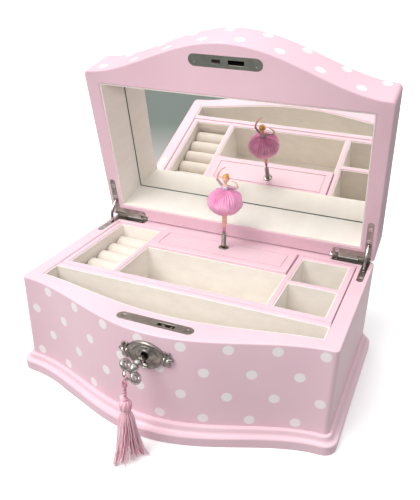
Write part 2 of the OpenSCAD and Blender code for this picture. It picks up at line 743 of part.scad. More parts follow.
module lid_leaf(side) {
    color(nickel) opened() difference() {
        union() {
            difference() {
                translate([0, 0, lid_z]) leaf_shape(side, leaf_t);
                mirror([side < 0 ? 1 : 0, 0, 0]) {
                    block(hinge_x0 - 1, lid_knuckle_x0, yb(0), yb(leaf_back_d), lid_z - 1,
                        lid_z + leaf_t + 1);
                    block(lid_knuckle_x1, case_half, yb(0), yb(leaf_back_d), lid_z - 1,
                        lid_z + leaf_t + 1);
                }
            }
            mirror([side < 0 ? 1 : 0, 0, 0])
                knuckle(lid_knuckle_x0, lid_knuckle_x1, lid_z, hinge_pin_r + pin_clear);
        }
        lid_stay_cut(side);
        for (p = leaf_screws) translate([side * p[0], yb(p[1]), lid_z]) mirror([0, 0, 1])
            screw_hole(leaf_screw_len);
    }
}
module lid_leaf_left() { lid_leaf(-1); }
module lid_leaf_right() { lid_leaf(1); }
module hinge_pins() {
    color(nickel) for (s = [-1, 1]) mirror([s < 0 ? 1 : 0, 0, 0])
        translate([hinge_x0, pivot_y, pivot_z]) {
            rotate([0, 90, 0]) cylinder(h = barrel_len, r = hinge_pin_r);
            difference() {
                sphere(r = pin_end - hair_gap);
                translate([0, -pin_end, -pin_end]) cube(2 * pin_end);
            }
        }
}
module stay(side) {
    color(nickel) translate([side * leaf_x, pivot_y, pivot_z]) rotate([90, 0, -90])
        rotate([0, 0, stay_low]) rotate_extrude(angle = stay_high - stay_low)
            translate([stay_r - stay_t / 2, -stay_w / 2]) square([stay_t, stay_w]);
}
module stay_left() { stay(-1); }
module stay_right() { stay(1); }
module case_leaf_screws() {
    color(nickel) for (s = [-1, 1], p = leaf_screws)
        translate([s * p[0], yb(p[1]), rim_z]) screw(leaf_screw_len);
}
module lid_leaf_screws() {
    color(nickel) opened() for (s = [-1, 1], p = leaf_screws)
        translate([s * p[0], yb(p[1]), lid_z]) mirror([0, 0, 1]) screw(leaf_screw_len);
}

// ---- lock ---------------------------------------------------------------------------
hook_drop = 2.3;
hook_band = 2.2;
hook_x = slot_x - slot_len / 2 + hook_r / 2 - 0.3;
hook_pin_r = 1;
hook_hub_r = 2;
hook_tip = -35;
hook_tail = 105;
drill_pin_r = 1.1;
drill_pin_len = 5;
lock_top = rim_z - plate_t;
module lock_case() {
    color(brass) {
        difference() {
            block(-lock_w / 2, lock_w / 2, lock_y0, lock_y1, lock_top - lock_h, lock_top);
            block(-lock_w / 2 + lock_sheet, lock_w / 2 - lock_sheet, lock_y0 + lock_sheet,
                lock_y1 - lock_sheet, lock_top - lock_h + lock_sheet, lock_top + 1);
            translate([0, lock_y0 + lock_sheet + 0.2, key_z]) keyhole(lock_sheet + 1);
        }
        // drill pin that the hollow key turns on, and the hook's pivot
        translate([0, lock_y1, key_z]) rotate([90, 0, 0]) cylinder(h = drill_pin_len, r = drill_pin_r);
        translate([hook_x, lock_y1, rim_z - hook_drop - hook_pin_r / 4]) rotate([90, 0, 0])
            cylinder(h = lock_t, r = hook_pin_r);
    }
}
module lock_plate() {
    color(nickel) difference() {
        translate([0, plate_y, rim_z - plate_t]) round_plate(plate_len, plate_w, plate_t);
        hook_slot(rim_z - plate_t - 1, rim_z + 1);
        plate_holes(rim_z);
    }
}
module lock_plate_screws() {
    color(nickel) for (s = [-1, 1])
        translate([s * plate_screw_pitch / 2, plate_y, rim_z]) screw(screw_depth);
}
module hook_bolt() {
    // drawn locked, then turned back to its rest inside the lock
    z = rim_z - hook_drop - hook_pin_r / 4;
    color(brass) translate([hook_x, plate_y, z]) rotate([0, key_turn, 0]) difference() {
        union() {
            rotate([90, 0, 0]) translate([0, 0, -hook_t / 2]) {
                rotate([0, 0, 90 - hook_tail]) rotate_extrude(angle = hook_tail - hook_tip)
                    translate([hook_r - hook_band, 0]) square([hook_band, hook_t]);
                cylinder(h = hook_t, r = hook_hub_r);
                rotate([0, 0, 90 - hook_tail]) cube([hook_r - hook_band / 2, hook_band, hook_t]);
            }
        }
        rotate([90, 0, 0]) translate([0, 0, -hook_t]) cylinder(h = 2 * hook_t, r = hook_pin_r + 0.05);
    }
}
// A shell of the front's curve from t0 to t1 outside the case
module front_shell(t0, t1, half) {
    n = front_steps;
    pts = [for (i = [0:n]) let (x = half * (2 * i / n - 1)) [x, front_face(x)]];
    translate([0, 0, plinth_h]) linear_extrude(wall_h)
        polygon(concat([for (p = pts) p - [0, t1]], [for (i = [n:-1:0]) pts[i] - [0, t0]]));
}
oval_w = 33;
oval_h = 22;
oval_t = 1.2;
oval_rim_w = 1.3;
oval_rim_t = 2;
escutcheon_pin_x = 17.5;
escutcheon_pin_r = 0.7;
escutcheon_pin_len = 5;
front_clear = 0.05;
scroll_rise = 0.5;
pin_proud = oval_rim_t + 2 * scroll_rise;
pin_head_r = 1.3;
pin_head_h = 0.8;
past_front = 5;
module oval_shape(inset) {
    // an oval of four arcs, along -Y
    r = (pow(oval_w / 2, 2) + pow(oval_h / 2, 2)) / oval_h;
    intersection_for(s = [-1, 1]) translate([0, s * (r - oval_h / 2)]) circle(r = r - inset, $fn = 96);
}
// The scrolled ends of the escutcheon: [x, z from the keyhole, radius]
scroll_lobes = [[17, 0, 3], [18.6, 3, 2.2], [18.6, -3, 2.2], [15.6, 4.6, 1.9], [15.6, -4.6, 1.9],
    [21, 0, 1.7]];
module escutcheon() {
    color(nickel) difference() {
        union() {
            intersection() {
                front_shell(front_clear, oval_t, oval_w);
                translate([0, 0, key_z]) rotate([90, 0, 0]) linear_extrude(-front_y + past_front)
                    oval_shape(0);
            }
            intersection() {
                front_shell(front_clear, oval_rim_t, oval_w);
                translate([0, 0, key_z]) rotate([90, 0, 0]) linear_extrude(-front_y + past_front)
                    difference() {
                        oval_shape(0);
                        oval_shape(oval_rim_w);
                    }
            }
            intersection() {
                front_shell(front_clear, oval_rim_t + scroll_rise, oval_w);
                translate([0, 0, key_z]) rotate([90, 0, 0]) linear_extrude(-front_y + past_front)
                    for (s = [-1, 1], p = scroll_lobes) translate([s * p[0], p[1]]) circle(r = p[2]);
            }
        }
        translate([0, plate_y, key_z]) keyhole(-front_y + plate_y + past_front);
        for (s = [-1, 1]) translate([s * escutcheon_pin_x, 0, key_z]) rotate([90, 0, 0])
            cylinder(h = -front_y + past_front, r = escutcheon_pin_r, $fn = 24);
    }
}
module escutcheon_pins() {
    y = front_face(escutcheon_pin_x);
    color(nickel) for (s = [-1, 1]) translate([s * escutcheon_pin_x, y, key_z]) rotate([90, 0, 0]) {
        translate([0, 0, -escutcheon_pin_len])
            cylinder(h = escutcheon_pin_len + pin_proud, r = escutcheon_pin_r, $fn = 24);
        translate([0, 0, pin_proud])
            cylinder(h = pin_head_h, r1 = pin_head_r, r2 = pin_head_r * 0.6, $fn = 24);
    }
}
key_end_gap = 0.4;
key_in_y = lock_y1 - lock_sheet - key_end_gap;
key_tip_y = front_y - key_out;
bow_y = key_tip_y + bow_len;
bit_h = 5;
bit_w = 1.8;
bit_l = 2.6;
bit_gap = 0.2;
key_ring_w = 1.6;
key_ring_rise = 1.1;
module front_key() {
    color(nickel) {
        difference() {
            union() {
                translate([0, key_in_y, key_z]) rotate([90, 0, 0])
                    cylinder(h = key_in_y - bow_y + lobe_r / 2, r = shank_r);
                translate([0, bow_y + 2 * key_ring_w, key_z]) rotate([90, 0, 0])
                    cylinder(h = key_ring_w, r = shank_r + key_ring_rise);
            }
            translate([0, key_in_y + 1, key_z]) rotate([90, 0, 0])
                cylinder(h = drill_pin_len + 2, r = drill_pin_r + pin_clear);
        }
        block(-bit_w / 2, bit_w / 2, plate_y - bit_l / 2, plate_y + bit_l / 2, key_z - bit_h,
            key_z - drill_pin_r - bit_gap);
        translate([0, 0, key_z]) rotate([0, -bow_lean, 0]) translate([-bow_t / 2, 0, 0])
            rotate([90, 0, 90]) linear_extrude(bow_t) bow_shape();
    }
}
// The bow: three ring lobes about a middle, in a plane with the key's axis along -X
lobe_hole = 0.42;
end_hole = 0.55;
bow_hub = 0.7;
module bow_shape() {
    side_y = key_tip_y + bow_len / 2 + lobe_hole;
    end_y = key_tip_y + lobe_r;
    difference() {
        union() {
            for (s = [-1, 1]) translate([side_y, s * lobe_off]) circle(r = lobe_r);
            translate([end_y, 0]) circle(r = lobe_r);
            translate([(side_y + bow_y) / 2, 0]) circle(r = lobe_off * bow_hub);
        }
        for (s = [-1, 1]) translate([side_y, s * lobe_off]) circle(r = lobe_r * lobe_hole);
        translate([end_y, 0]) circle(r = lobe_r * end_hole);
    }
}
knot_y = key_tip_y + lobe_r * (1 - end_hole) / 2;
knot_r = 1.4;
module tassel_knot() {
    // cord hitched round the outermost bar of the bow
    color(deep_pink) translate([0, knot_y, key_z]) rotate([0, -bow_lean, 0])
        difference() {
            for (s = [-1, 1]) translate([0, 0, s * 0.9]) rotate_extrude($fn = 24)
                translate([knot_r + 0.9, 0]) circle(r = 0.85, $fn = 16);
            translate([0, -knot_y, 0]) translate([-bow_t / 2 - 0.02, 0, 0])
                rotate([90, 0, 90]) linear_extrude(bow_t + 0.04) bow_shape();
        }
}
cord_top_z = key_z - 4.2;
tassel_x = -1;
module tassel_cord() {
    color(deep_pink) tube(
        [[0, knot_y, cord_top_z], [-0.4, knot_y, key_z - 8], [-0.7, knot_y, key_z - 12],
            [tassel_x, knot_y, tassel_head_z + 0.05]],
        [for (i = [0:3]) tassel_cord_r], 8, [0, 1, 0]);
}
module tassel_head() {
    color(deep_pink) translate([tassel_x, knot_y, tassel_head_z - head_h]) rotate_extrude() polygon(concat(
        [[0, 0], [head_r * 0.8, 0]],
        [for (i = [1:9]) let (a = 180 * i / 10) [head_r * (0.72 + 0.28 * sin(a)), head_h * 0.1 * i]],
        [[head_r * 0.4, head_h], [0, head_h]]
    ));
}
skirt_r = 8.5;
skirt_lift = 0.4;
module tassel_skirt() {
    top = tassel_head_z - head_h;
    color(deep_pink) translate([tassel_x, knot_y, skirt_lift]) rotate_extrude() polygon(concat(
        [[0, 0], [skirt_r, 0]],
        [for (i = [1:6]) let (f = i / 6) [head_r * 0.8 + (skirt_r - head_r * 0.8) * pow(1 - f, 1.6),
            (top - skirt_lift) * f]],
        [[0, top - skirt_lift]]
    ));
}

// ---- movement -------------------------------------------------------------------------
figure_y = yb(figure_d);
crown_r = crown_module * crown_teeth / 2;
pinion_r = crown_module * pinion_teeth / 2;
tip_share = 0.8;
root_share = 1;
crown_pitch_d = figure_d - pinion_r;
crown_face = 2.5;
crown_tip_d = crown_pitch_d + tip_share * crown_module;
crown_root_d = crown_pitch_d - root_share * crown_module;
drum_back_d = tray_back_d + 2.3;
tooth_base_share = 0.42;
tooth_tip_share = 0.2;
tooth_lap = 0.1;
pinion_z = barrel_z + crown_r;
pinion_h = 3.6;
arm_low_z = pinion_z - pinion_h / 2 - 4.2;
arm_h = 3.4;
cyl_z0 = pinion_z + pinion_h / 2 + 1.6;
cyl_h = comb_teeth * comb_pitch + 2.4;
wheel_z = cyl_z0 + cyl_h + 0.8;
wheel_t = 1.6;
wheel_r = fine_module * wheel_teeth / 2;
governor_r = fine_module * governor_teeth / 2;
governor_x = wheel_r + governor_r;
arm_high_z = wheel_z + wheel_t + 0.6;
pivot_small_r = 1;
spindle_top_z = rim_z + cover_rise + collar_rise + 0.3;
plate_back_d = tray_back_d - tray_gap;
plate_front_d = plate_back_d + 2;
// A spur gear with straight-sided teeth, the first tooth at the angle phase
module spur(teeth, m, h, phase) {
    r = m * teeth / 2;
    root = r - root_share * m;
    tip = r + tip_share * m;
    step = 360 / teeth;
    base_half = step * tooth_base_share / 2 * r / root;
    tip_half = step * tooth_tip_share / 2;
    linear_extrude(h) polygon([for (i = [0:teeth - 1]) let (a = phase + i * step)
        each [root * [cos(a - base_half), sin(a - base_half)], tip * [cos(a - tip_half), sin(a - tip_half)],
            tip * [cos(a + tip_half), sin(a + tip_half)], root * [cos(a + base_half), sin(a + base_half)]]]);
}
plate_left = 36;
post_t = 4;
post_gap = 7;
arm_half = 4;
top_arm_h = 2.4;
post_x = governor_x + post_gap;
plate_right = post_x + post_t;
module bearing(x, z, h, r) {
    translate([x, figure_y, z - 1]) cylinder(h = h + 2, r = r + pin_clear);
}
module bedplate() {
    color(brass) difference() {
        union() {
            block(-plate_left, plate_right, yb(plate_back_d), yb(plate_front_d), plinth_h,
                arm_high_z + top_arm_h);
            block(post_x, plate_right, yb(plate_front_d), yb(figure_d + arm_half), arm_low_z,
                arm_high_z + top_arm_h);
            block(-arm_half, plate_right, yb(figure_d - arm_half), yb(figure_d + arm_half), arm_low_z,
                arm_low_z + arm_h);
            block(-arm_half, plate_right, yb(figure_d - arm_half), yb(figure_d + arm_half), arm_high_z,
                arm_high_z + top_arm_h);
            block(-plate_left, comb_heel_x, yb(plate_front_d), yb(figure_d - comb_t / 2), cyl_z0,
                cyl_z0 + cyl_h);
        }
        bearing(0, arm_low_z, arm_h, pivot_small_r);
        bearing(0, arm_high_z, top_arm_h, spindle_r);
        bearing(governor_x, arm_low_z, arm_h, pivot_small_r);
        bearing(governor_x, arm_high_z, top_arm_h, pivot_small_r);
        translate([0, yb(plate_back_d - 1), barrel_z]) rotate([90, 0, 0])
            cylinder(h = plate_front_d - plate_back_d + 2, r = arbor_r + pin_clear);
        for (p = bed_screws) translate([p[0], yb(plate_front_d), p[1]]) rotate([90, 0, 0])
            screw_hole(bed_screw_len);
        for (z = comb_screw_z) translate([comb_screw_x, yb(figure_d + comb_t / 2), z]) rotate([90, 0, 0])
            screw_hole(comb_screw_len);
    }
}
bed_screw_len = 8;
bed_screw_low = plinth_h + screw_edge;
bed_screws = [[-plate_left + screw_edge, bed_screw_low], [-plate_left + screw_edge, barrel_z + crown_r],
    [plate_right - screw_edge, bed_screw_low]];
comb_screw_len = 6;
comb_screw_edge = 5;
comb_heel_w = 12;
comb_screw_x = -plate_left + comb_heel_w / 2;
comb_screw_z = [cyl_z0 + comb_screw_edge, cyl_z0 + cyl_h - comb_screw_edge];
comb_t = 1.2;
comb_heel_x = -plate_left + comb_heel_w;
comb_heel_lap = 2;
pin_h = 0.5;
comb_gap = 0.35;
comb_tip_x = -cylinder_r - pin_h - comb_gap;
comb_tooth_share = 0.65;
comb_step = 4;
module comb() {
    z0 = cyl_z0 + (cyl_h - comb_teeth * comb_pitch) / 2;
    color(nickel) translate([0, yb(figure_d - comb_t / 2), 0]) difference() {
        union() {
            block(-plate_left, comb_heel_x + comb_heel_lap, -comb_t, 0, cyl_z0, cyl_z0 + cyl_h);
            for (i = [0:comb_teeth - 1]) {
                root = comb_heel_x + comb_heel_lap + comb_step * i / comb_teeth;
                block(comb_heel_x, root, -comb_t, 0, z0 + i * comb_pitch, z0 + (i + 1) * comb_pitch);
                block(comb_heel_x, comb_tip_x, -comb_t * 0.8, -comb_t * 0.2,
                    z0 + (i + (1 - comb_tooth_share) / 2) * comb_pitch,
                    z0 + (i + (1 + comb_tooth_share) / 2) * comb_pitch);
            }
        }
        for (z = comb_screw_z) translate([comb_screw_x, -comb_t, z]) rotate([90, 0, 0])
            screw_hole(comb_screw_len);
    }
}
module comb_screws() {
    color(nickel) for (z = comb_screw_z)
        translate([comb_screw_x, yb(figure_d + comb_t / 2), z]) rotate([90, 0, 0]) screw(comb_screw_len);
}
module bedplate_screws() {
    color(nickel) for (p = bed_screws)
        translate([p[0], yb(plate_front_d), p[1]]) rotate([90, 0, 0]) screw(bed_screw_len);
}
module mainspring_barrel() {
    tooth_b = crown_module * PI * tooth_base_share / 2;
    tooth_t = crown_module * PI * tooth_tip_share / 2;
    color(brass) translate([0, 0, barrel_z]) difference() {
        union() {
            translate([0, yb(drum_back_d), 0]) rotate([90, 0, 0])
                cylinder(h = crown_root_d - drum_back_d, r = crown_r + crown_face / 2);
            for (i = [0:crown_teeth - 1]) rotate([0, 360 * i / crown_teeth, 0])
                translate([0, 0, crown_r - crown_face / 2]) linear_extrude(crown_face) polygon([
                    [-tooth_b, yb(crown_root_d - tooth_lap)], [tooth_b, yb(crown_root_d - tooth_lap)],
                    [tooth_t, yb(crown_tip_d)], [-tooth_t, yb(crown_tip_d)]]);
        }
        translate([0, yb(drum_back_d - 1), 0]) rotate([90, 0, 0])
            cylinder(h = crown_tip_d - drum_back_d + 2, r = arbor_r + pin_clear);
    }
}
module winding_arbor() {
    color(nickel) translate([0, yb(key_hub_d0), barrel_z]) rotate([90, 0, 0]) {
        cylinder(h = crown_root_d + arbor_gap + arbor_flange_t - key_hub_d0, r = arbor_r);
        translate([0, 0, crown_root_d + arbor_gap - key_hub_d0])
            cylinder(h = arbor_flange_t, r = arbor_r + arbor_flange_out);
    }
}
arbor_gap = 0.4;
arbor_flange_t = 0.8;
arbor_flange_out = 1.4;
key_hub_d0 = -7;
key_hub_d1 = -0.8;
key_hub_r = 3.6;
key_hub_cap = 2;
wing_r = 6.2;
wing_t = 1.6;
wing_reach = 9;
module winding_key() {
    color(brass) difference() {
        union() {
            translate([0, yb(key_hub_d0 - key_hub_cap), barrel_z]) rotate([90, 0, 0])
                cylinder(h = key_hub_d1 - key_hub_d0 + key_hub_cap, r = key_hub_r);
            translate([0, 0, barrel_z - wing_t / 2]) linear_extrude(wing_t) difference() {
                union() {
                    for (s = [-1, 1]) translate([s * (wing_span / 2 - wing_r), yb(key_hub_d0 - wing_reach)])
                        circle(r = wing_r);
                    translate([-wing_span / 4, yb(key_hub_d0)]) square([wing_span / 2, wing_reach]);
                }
                for (s = [-1, 1]) translate([s * (wing_span / 2 - wing_r), yb(key_hub_d0 - wing_reach)])
                    circle(r = wing_r * 0.5);
            }
        }
        translate([0, yb(key_hub_d0), barrel_z]) rotate([90, 0, 0])
            cylinder(h = key_hub_d1 - key_hub_d0 + 1, r = arbor_r);
    }
}
pins_per_row = 5;
tune_pin_r = 0.2;
tune_step = 47;
sleeve_r = 3;
module pin_cylinder() {
    z0 = cyl_z0 + (cyl_h - comb_teeth * comb_pitch) / 2;
    color(brass) translate([0, figure_y, 0]) {
        translate([0, 0, cyl_z0]) cylinder(h = cyl_h, r = cylinder_r);
        for (i = [0:comb_teeth - 1], k = [0:pins_per_row - 1])
            translate([0, 0, z0 + (i + 0.5) * comb_pitch])
                rotate([0, 90, (i * tune_step + k * 360 / pins_per_row) % 360])
                cylinder(h = cylinder_r + pin_h, r = tune_pin_r, $fn = 4);
        translate([0, 0, pinion_z - pinion_h / 2])
            spur(pinion_teeth, crown_module, pinion_h, 90 + 180 / pinion_teeth);
        translate([0, 0, pinion_z + pinion_h / 2])
            cylinder(h = cyl_z0 - pinion_z - pinion_h / 2, r = sleeve_r);
        translate([0, 0, arm_low_z]) cylinder(h = pinion_z - pinion_h / 2 - arm_low_z, r = pivot_small_r);
        translate([0, 0, cyl_z0 + cyl_h]) cylinder(h = wheel_z - cyl_z0 - cyl_h, r = sleeve_r);
        translate([0, 0, wheel_z]) spur(wheel_teeth, fine_module, wheel_t, 0);
        translate([0, 0, wheel_z]) cylinder(h = spindle_top_z - hair_gap - wheel_z, r = spindle_r);
    }
}
fan_r = 5.4;
fan_h = 10;
fan_t = 0.8;
module governor_fan() {
    color(brass) translate([governor_x, figure_y, 0]) {
        translate([0, 0, arm_low_z]) cylinder(h = arm_high_z + top_arm_h - arm_low_z, r = pivot_small_r);
        translate([0, 0, wheel_z - wheel_t / 4])
            spur(governor_teeth, fine_module, wheel_t * 1.5, 180 + 180 / governor_teeth);
        translate([0, 0, cyl_z0]) cylinder(h = fan_h, r = pivot_small_r + fan_t);
        translate([-fan_r, -fan_t / 2, cyl_z0]) cube([2 * fan_r, fan_t, fan_h]);
    }
}

// ---- figure ---------------------------------------------------------------------------
cover_top = rim_z + cover_rise;
toes_z = cover_top + toes_rise;
cap_h = 2.6;
spring_z0 = spindle_top_z + hair_gap;
spring_z1 = toes_z - cap_h;
spring_sides = 6;
spring_rings = 12;
module figure_spring() {
    n = spring_turns * spring_rings;
    h = spring_z1 - spring_z0 - 2 * spring_wire_r;
    pts = [for (i = [0:n]) let (a = 360 * i / spring_rings)
        [spring_r * cos(a), figure_y + spring_r * sin(a), spring_z0 + spring_wire_r + h * i / n]];
    color(nickel) tube(pts, [for (i = [0:n]) spring_wire_r], spring_sides, [0, 0, 1]);
}
foot_pin_r = 0.7;
foot_pin_h = 3;
foot_h = foot_pin_h + 1.2;
cap_pin_h = cap_h + foot_pin_h - 0.5;
module spring_cap() {
    color(nickel) translate([0, figure_y, spring_z1]) {
        cylinder(h = cap_h - hair_gap, r1 = spring_r + spring_wire_r, r2 = spring_r);
        cylinder(h = cap_pin_h, r = foot_pin_r);
    }
}
// Heights of the figure as shares of figure_h above its toes
ankle = 0.08;
knee = 0.2;
hip = 0.44;
waist = 0.66;
chest = 0.76;
shoulder = 0.82;
neck = 0.86;
head_mid = 0.925;
function fz(share) = toes_z + figure_h * share;
module figure_legs() {
    color(skin) difference() {
        union() {
            for (s = [-1, 1]) tube(
                [for (p = [[0.25, 0.002], [0.45, ankle], [0.6, knee], [0.7, 0.32], [1, hip]])
                    [s * p[0] * 1.6, figure_y, fz(p[1])]],
                [0.9, 1.0, 1.25, 1.4, 1.7], 10, [0, 1, 0]);
            translate([0, figure_y, fz(0.004)]) cylinder(h = foot_h, r1 = 1.5, r2 = 1.3);
        }
        translate([0, figure_y, toes_z - 1]) cylinder(h = foot_pin_h + 1, r = foot_pin_r + pin_clear);
    }
}
module figure_bodice() {
    color("#d9bcd2") loft([for (p = [[0.6, 2.6, 2.2], [waist, 2.3, 1.9], [0.7, 2.6, 2.1],
        [chest, 3.2, 2.5], [shoulder, 3.2, 1.9], [neck, 1.2, 1.1]])
        [for (k = [0:15]) let (a = 360 * k / 16) [p[1] * cos(a), figure_y + p[2] * sin(a), fz(p[0])]]]);
}
// The left arm curves over the head, the right arm bends to the side
arm_left = [[-2.9, 0, 0.815], [-6.3, -1.2, 0.86], [-7.6, -1.6, 0.95], [-6.2, -1.8, 1.05], [-3.4, -1.8, 1.1]];
arm_right = [[2.9, 0, 0.815], [6.2, -0.8, 0.82], [8.6, -1.4, 0.87], [8.2, -1.8, 0.94], [6.2, -2, 0.975]];
arm_radii = [1, 0.95, 0.85, 0.7, 0.5];
module figure_arms() {
    color(skin) difference() {
        for (path = [arm_left, arm_right])
            tube([for (p = path) [p[0], figure_y + p[1], fz(p[2])]], arm_radii, 8, [0, 1, 0]);
        figure_bodice();
    }
}
head_size = 2.9;
neck_r = 1.05;
module figure_head() {
    color(skin) {
        translate([0, figure_y, fz(head_mid)]) sphere(r = head_size);
        translate([0, figure_y, fz(neck)]) cylinder(h = figure_h * (head_mid - neck), r = neck_r);
    }
}
module figure_hair() {
    color("#d8b678") difference() {
        union() {
            translate([0, figure_y + 0.5, fz(head_mid) + 0.5]) sphere(r = head_size + 0.35);
            translate([0, figure_y + 1.6, fz(head_mid) + head_size + 0.5]) sphere(r = 1.5);
        }
        translate([0, figure_y, fz(head_mid)]) sphere(r = head_size);
        translate([0, figure_y - head_size, fz(head_mid) - 0.8]) sphere(r = head_size);
        translate([0, figure_y, fz(neck)]) cylinder(h = figure_h * (head_mid - neck), r = neck_r);
    }
}
tutu_z0 = 0.3;
tutu_z1 = 0.69;
module tutu() {
    h = figure_h * (tutu_z1 - tutu_z0);
    steps = 16;
    color(deep_pink) difference() {
        translate([0, figure_y, fz(tutu_z0)]) rotate_extrude() polygon(concat(
            [[0, 0]],
            [for (i = [1:steps - 1]) let (a = 180 * i / steps)
                [tutu_r * pow(sin(a), 0.75), h * (1 - cos(a)) / 2]],
            [[0, h]]
        ));
        figure_legs();
        figure_bodice();
    }
}

base_felt();
plinth();
case_front();
case_left();
case_right();
case_back();
bin_partition();
bin_floor();
bin_lining();
tray();
tray_lining();
ring_rolls();
music_cover();
spindle_collar();
lid_frame();
lid_top();
lid_lining();
lid_mirror();
strike_plate();
strike_screws();
case_leaf_left();
case_leaf_right();
lid_leaf_left();
lid_leaf_right();
hinge_pins();
stay_left();
stay_right();
case_leaf_screws();
lid_leaf_screws();
lock_case();
lock_plate();
lock_plate_screws();
hook_bolt();
escutcheon();
escutcheon_pins();
front_key();
tassel_knot();
tassel_cord();
tassel_head();
tassel_skirt();
bedplate();
bedplate_screws();
comb();
comb_screws();
mainspring_barrel();
winding_arbor();
winding_key();
pin_cylinder();
governor_fan();
figure_spring();
spring_cap();
figure_legs();
figure_bodice();
figure_arms();
figure_head();
figure_hair();
tutu();
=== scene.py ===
"""Looks of the ballerina jewellery box: paper-covered case, linings, fittings, dancer, tutu and tassel."""
import math
import random

import bmesh
import bpy
import numpy as np
from mathutils import Matrix, Vector, noise


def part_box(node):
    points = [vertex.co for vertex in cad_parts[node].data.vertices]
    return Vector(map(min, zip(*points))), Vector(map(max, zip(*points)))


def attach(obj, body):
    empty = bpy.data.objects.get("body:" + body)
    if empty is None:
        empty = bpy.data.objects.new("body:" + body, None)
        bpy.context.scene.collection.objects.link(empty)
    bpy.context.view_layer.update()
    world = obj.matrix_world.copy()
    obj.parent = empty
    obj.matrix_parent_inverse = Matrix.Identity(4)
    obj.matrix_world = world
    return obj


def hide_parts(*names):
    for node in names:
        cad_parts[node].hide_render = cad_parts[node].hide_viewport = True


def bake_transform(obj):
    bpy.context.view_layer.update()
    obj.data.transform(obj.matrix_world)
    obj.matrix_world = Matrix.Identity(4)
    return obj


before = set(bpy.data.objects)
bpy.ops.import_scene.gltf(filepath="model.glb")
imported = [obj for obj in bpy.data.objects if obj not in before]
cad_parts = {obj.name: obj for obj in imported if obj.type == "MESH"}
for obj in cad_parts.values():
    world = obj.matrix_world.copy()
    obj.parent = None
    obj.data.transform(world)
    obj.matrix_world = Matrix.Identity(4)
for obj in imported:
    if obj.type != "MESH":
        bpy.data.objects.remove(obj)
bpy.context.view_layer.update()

SCENE = bpy.context.scene
MM = 0.001


# ---- the sizes of the box, in millimetres, from the frame ----
def low(node, axis):
    return float(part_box(node)[0][axis]) / MM


def high(node, axis):
    return float(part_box(node)[1][axis]) / MM


def middle(node, axis):
    return (low(node, axis) + high(node, axis)) / 2


CASE_HALF, RIM = high("case_right", 0), high("case_right", 2)
BACK_Y, FRONT_Y = high("case_back", 1), low("case_front", 1)
# the front's bow: its depth, the power that shapes it, and the radius of the case's corners
BOW, BOW_POWER, CORNER = 31.5, 0.87, 4.0
BACK_T, FRONT_T, SIDE_T = 12.5, 11.5, 12.7
INNER = -low("case_left", 0) - SIDE_T
CASE_D = BACK_Y - FRONT_Y - BOW
LID_OPEN, LID_GAP = 77.0, 0.5
PIVOT = Vector((0, middle("hinge_pins", 1), middle("hinge_pins", 2)))
LID_Z = RIM + LID_GAP
COVER_TOP = high("music_cover", 2)
PLATE_Y = middle("lock_plate_screws", 1)
FIG_Y, SPRING_H, FIG_H = middle("spring_cap", 1), 15.5, 54.0
TOES = COVER_TOP + SPRING_H
KEY_Z, KEY_TIP = middle("escutcheon_pins", 2), low("front_key", 1)
# how far the key's bow leans from upright
BOW_LEAN = math.radians(38)


def yb(d):
    """A distance from the case's outer back as a place along Y."""
    return BACK_Y - d


def swell(x, half=CASE_HALF - CORNER):
    return (0.5 * (1 + math.cos(math.pi * min(abs(x) / half, 1)))) ** BOW_POWER


def front_at(x):
    """Y of the front's outer face at x."""
    return yb(CASE_D) - BOW * swell(x)


def lid_turn(deg, scale=1.0):
    """The turn about the hinge's pin, in millimetres or, with MM, in metres."""
    move = Matrix.Translation(PIVOT * scale)
    return move @ Matrix.Rotation(math.radians(deg), 4, "X") @ move.inverted()


OPENED, CLOSED_M = lid_turn(-LID_OPEN), lid_turn(LID_OPEN, MM)


def put(name, data):
    """A new object in the scene."""
    o = bpy.data.objects.new(name, data)
    SCENE.collection.objects.link(o)
    return o


# ---- shader tools ----
def lin(hexa):
    """A hex colour as linear RGBA."""
    out = []
    for i in (0, 2, 4):
        c = int(hexa[i:i + 2], 16) / 255
        out.append(c / 12.92 if c <= 0.04045 else ((c + 0.055) / 1.055) ** 2.4)
    return (*out, 1.0)


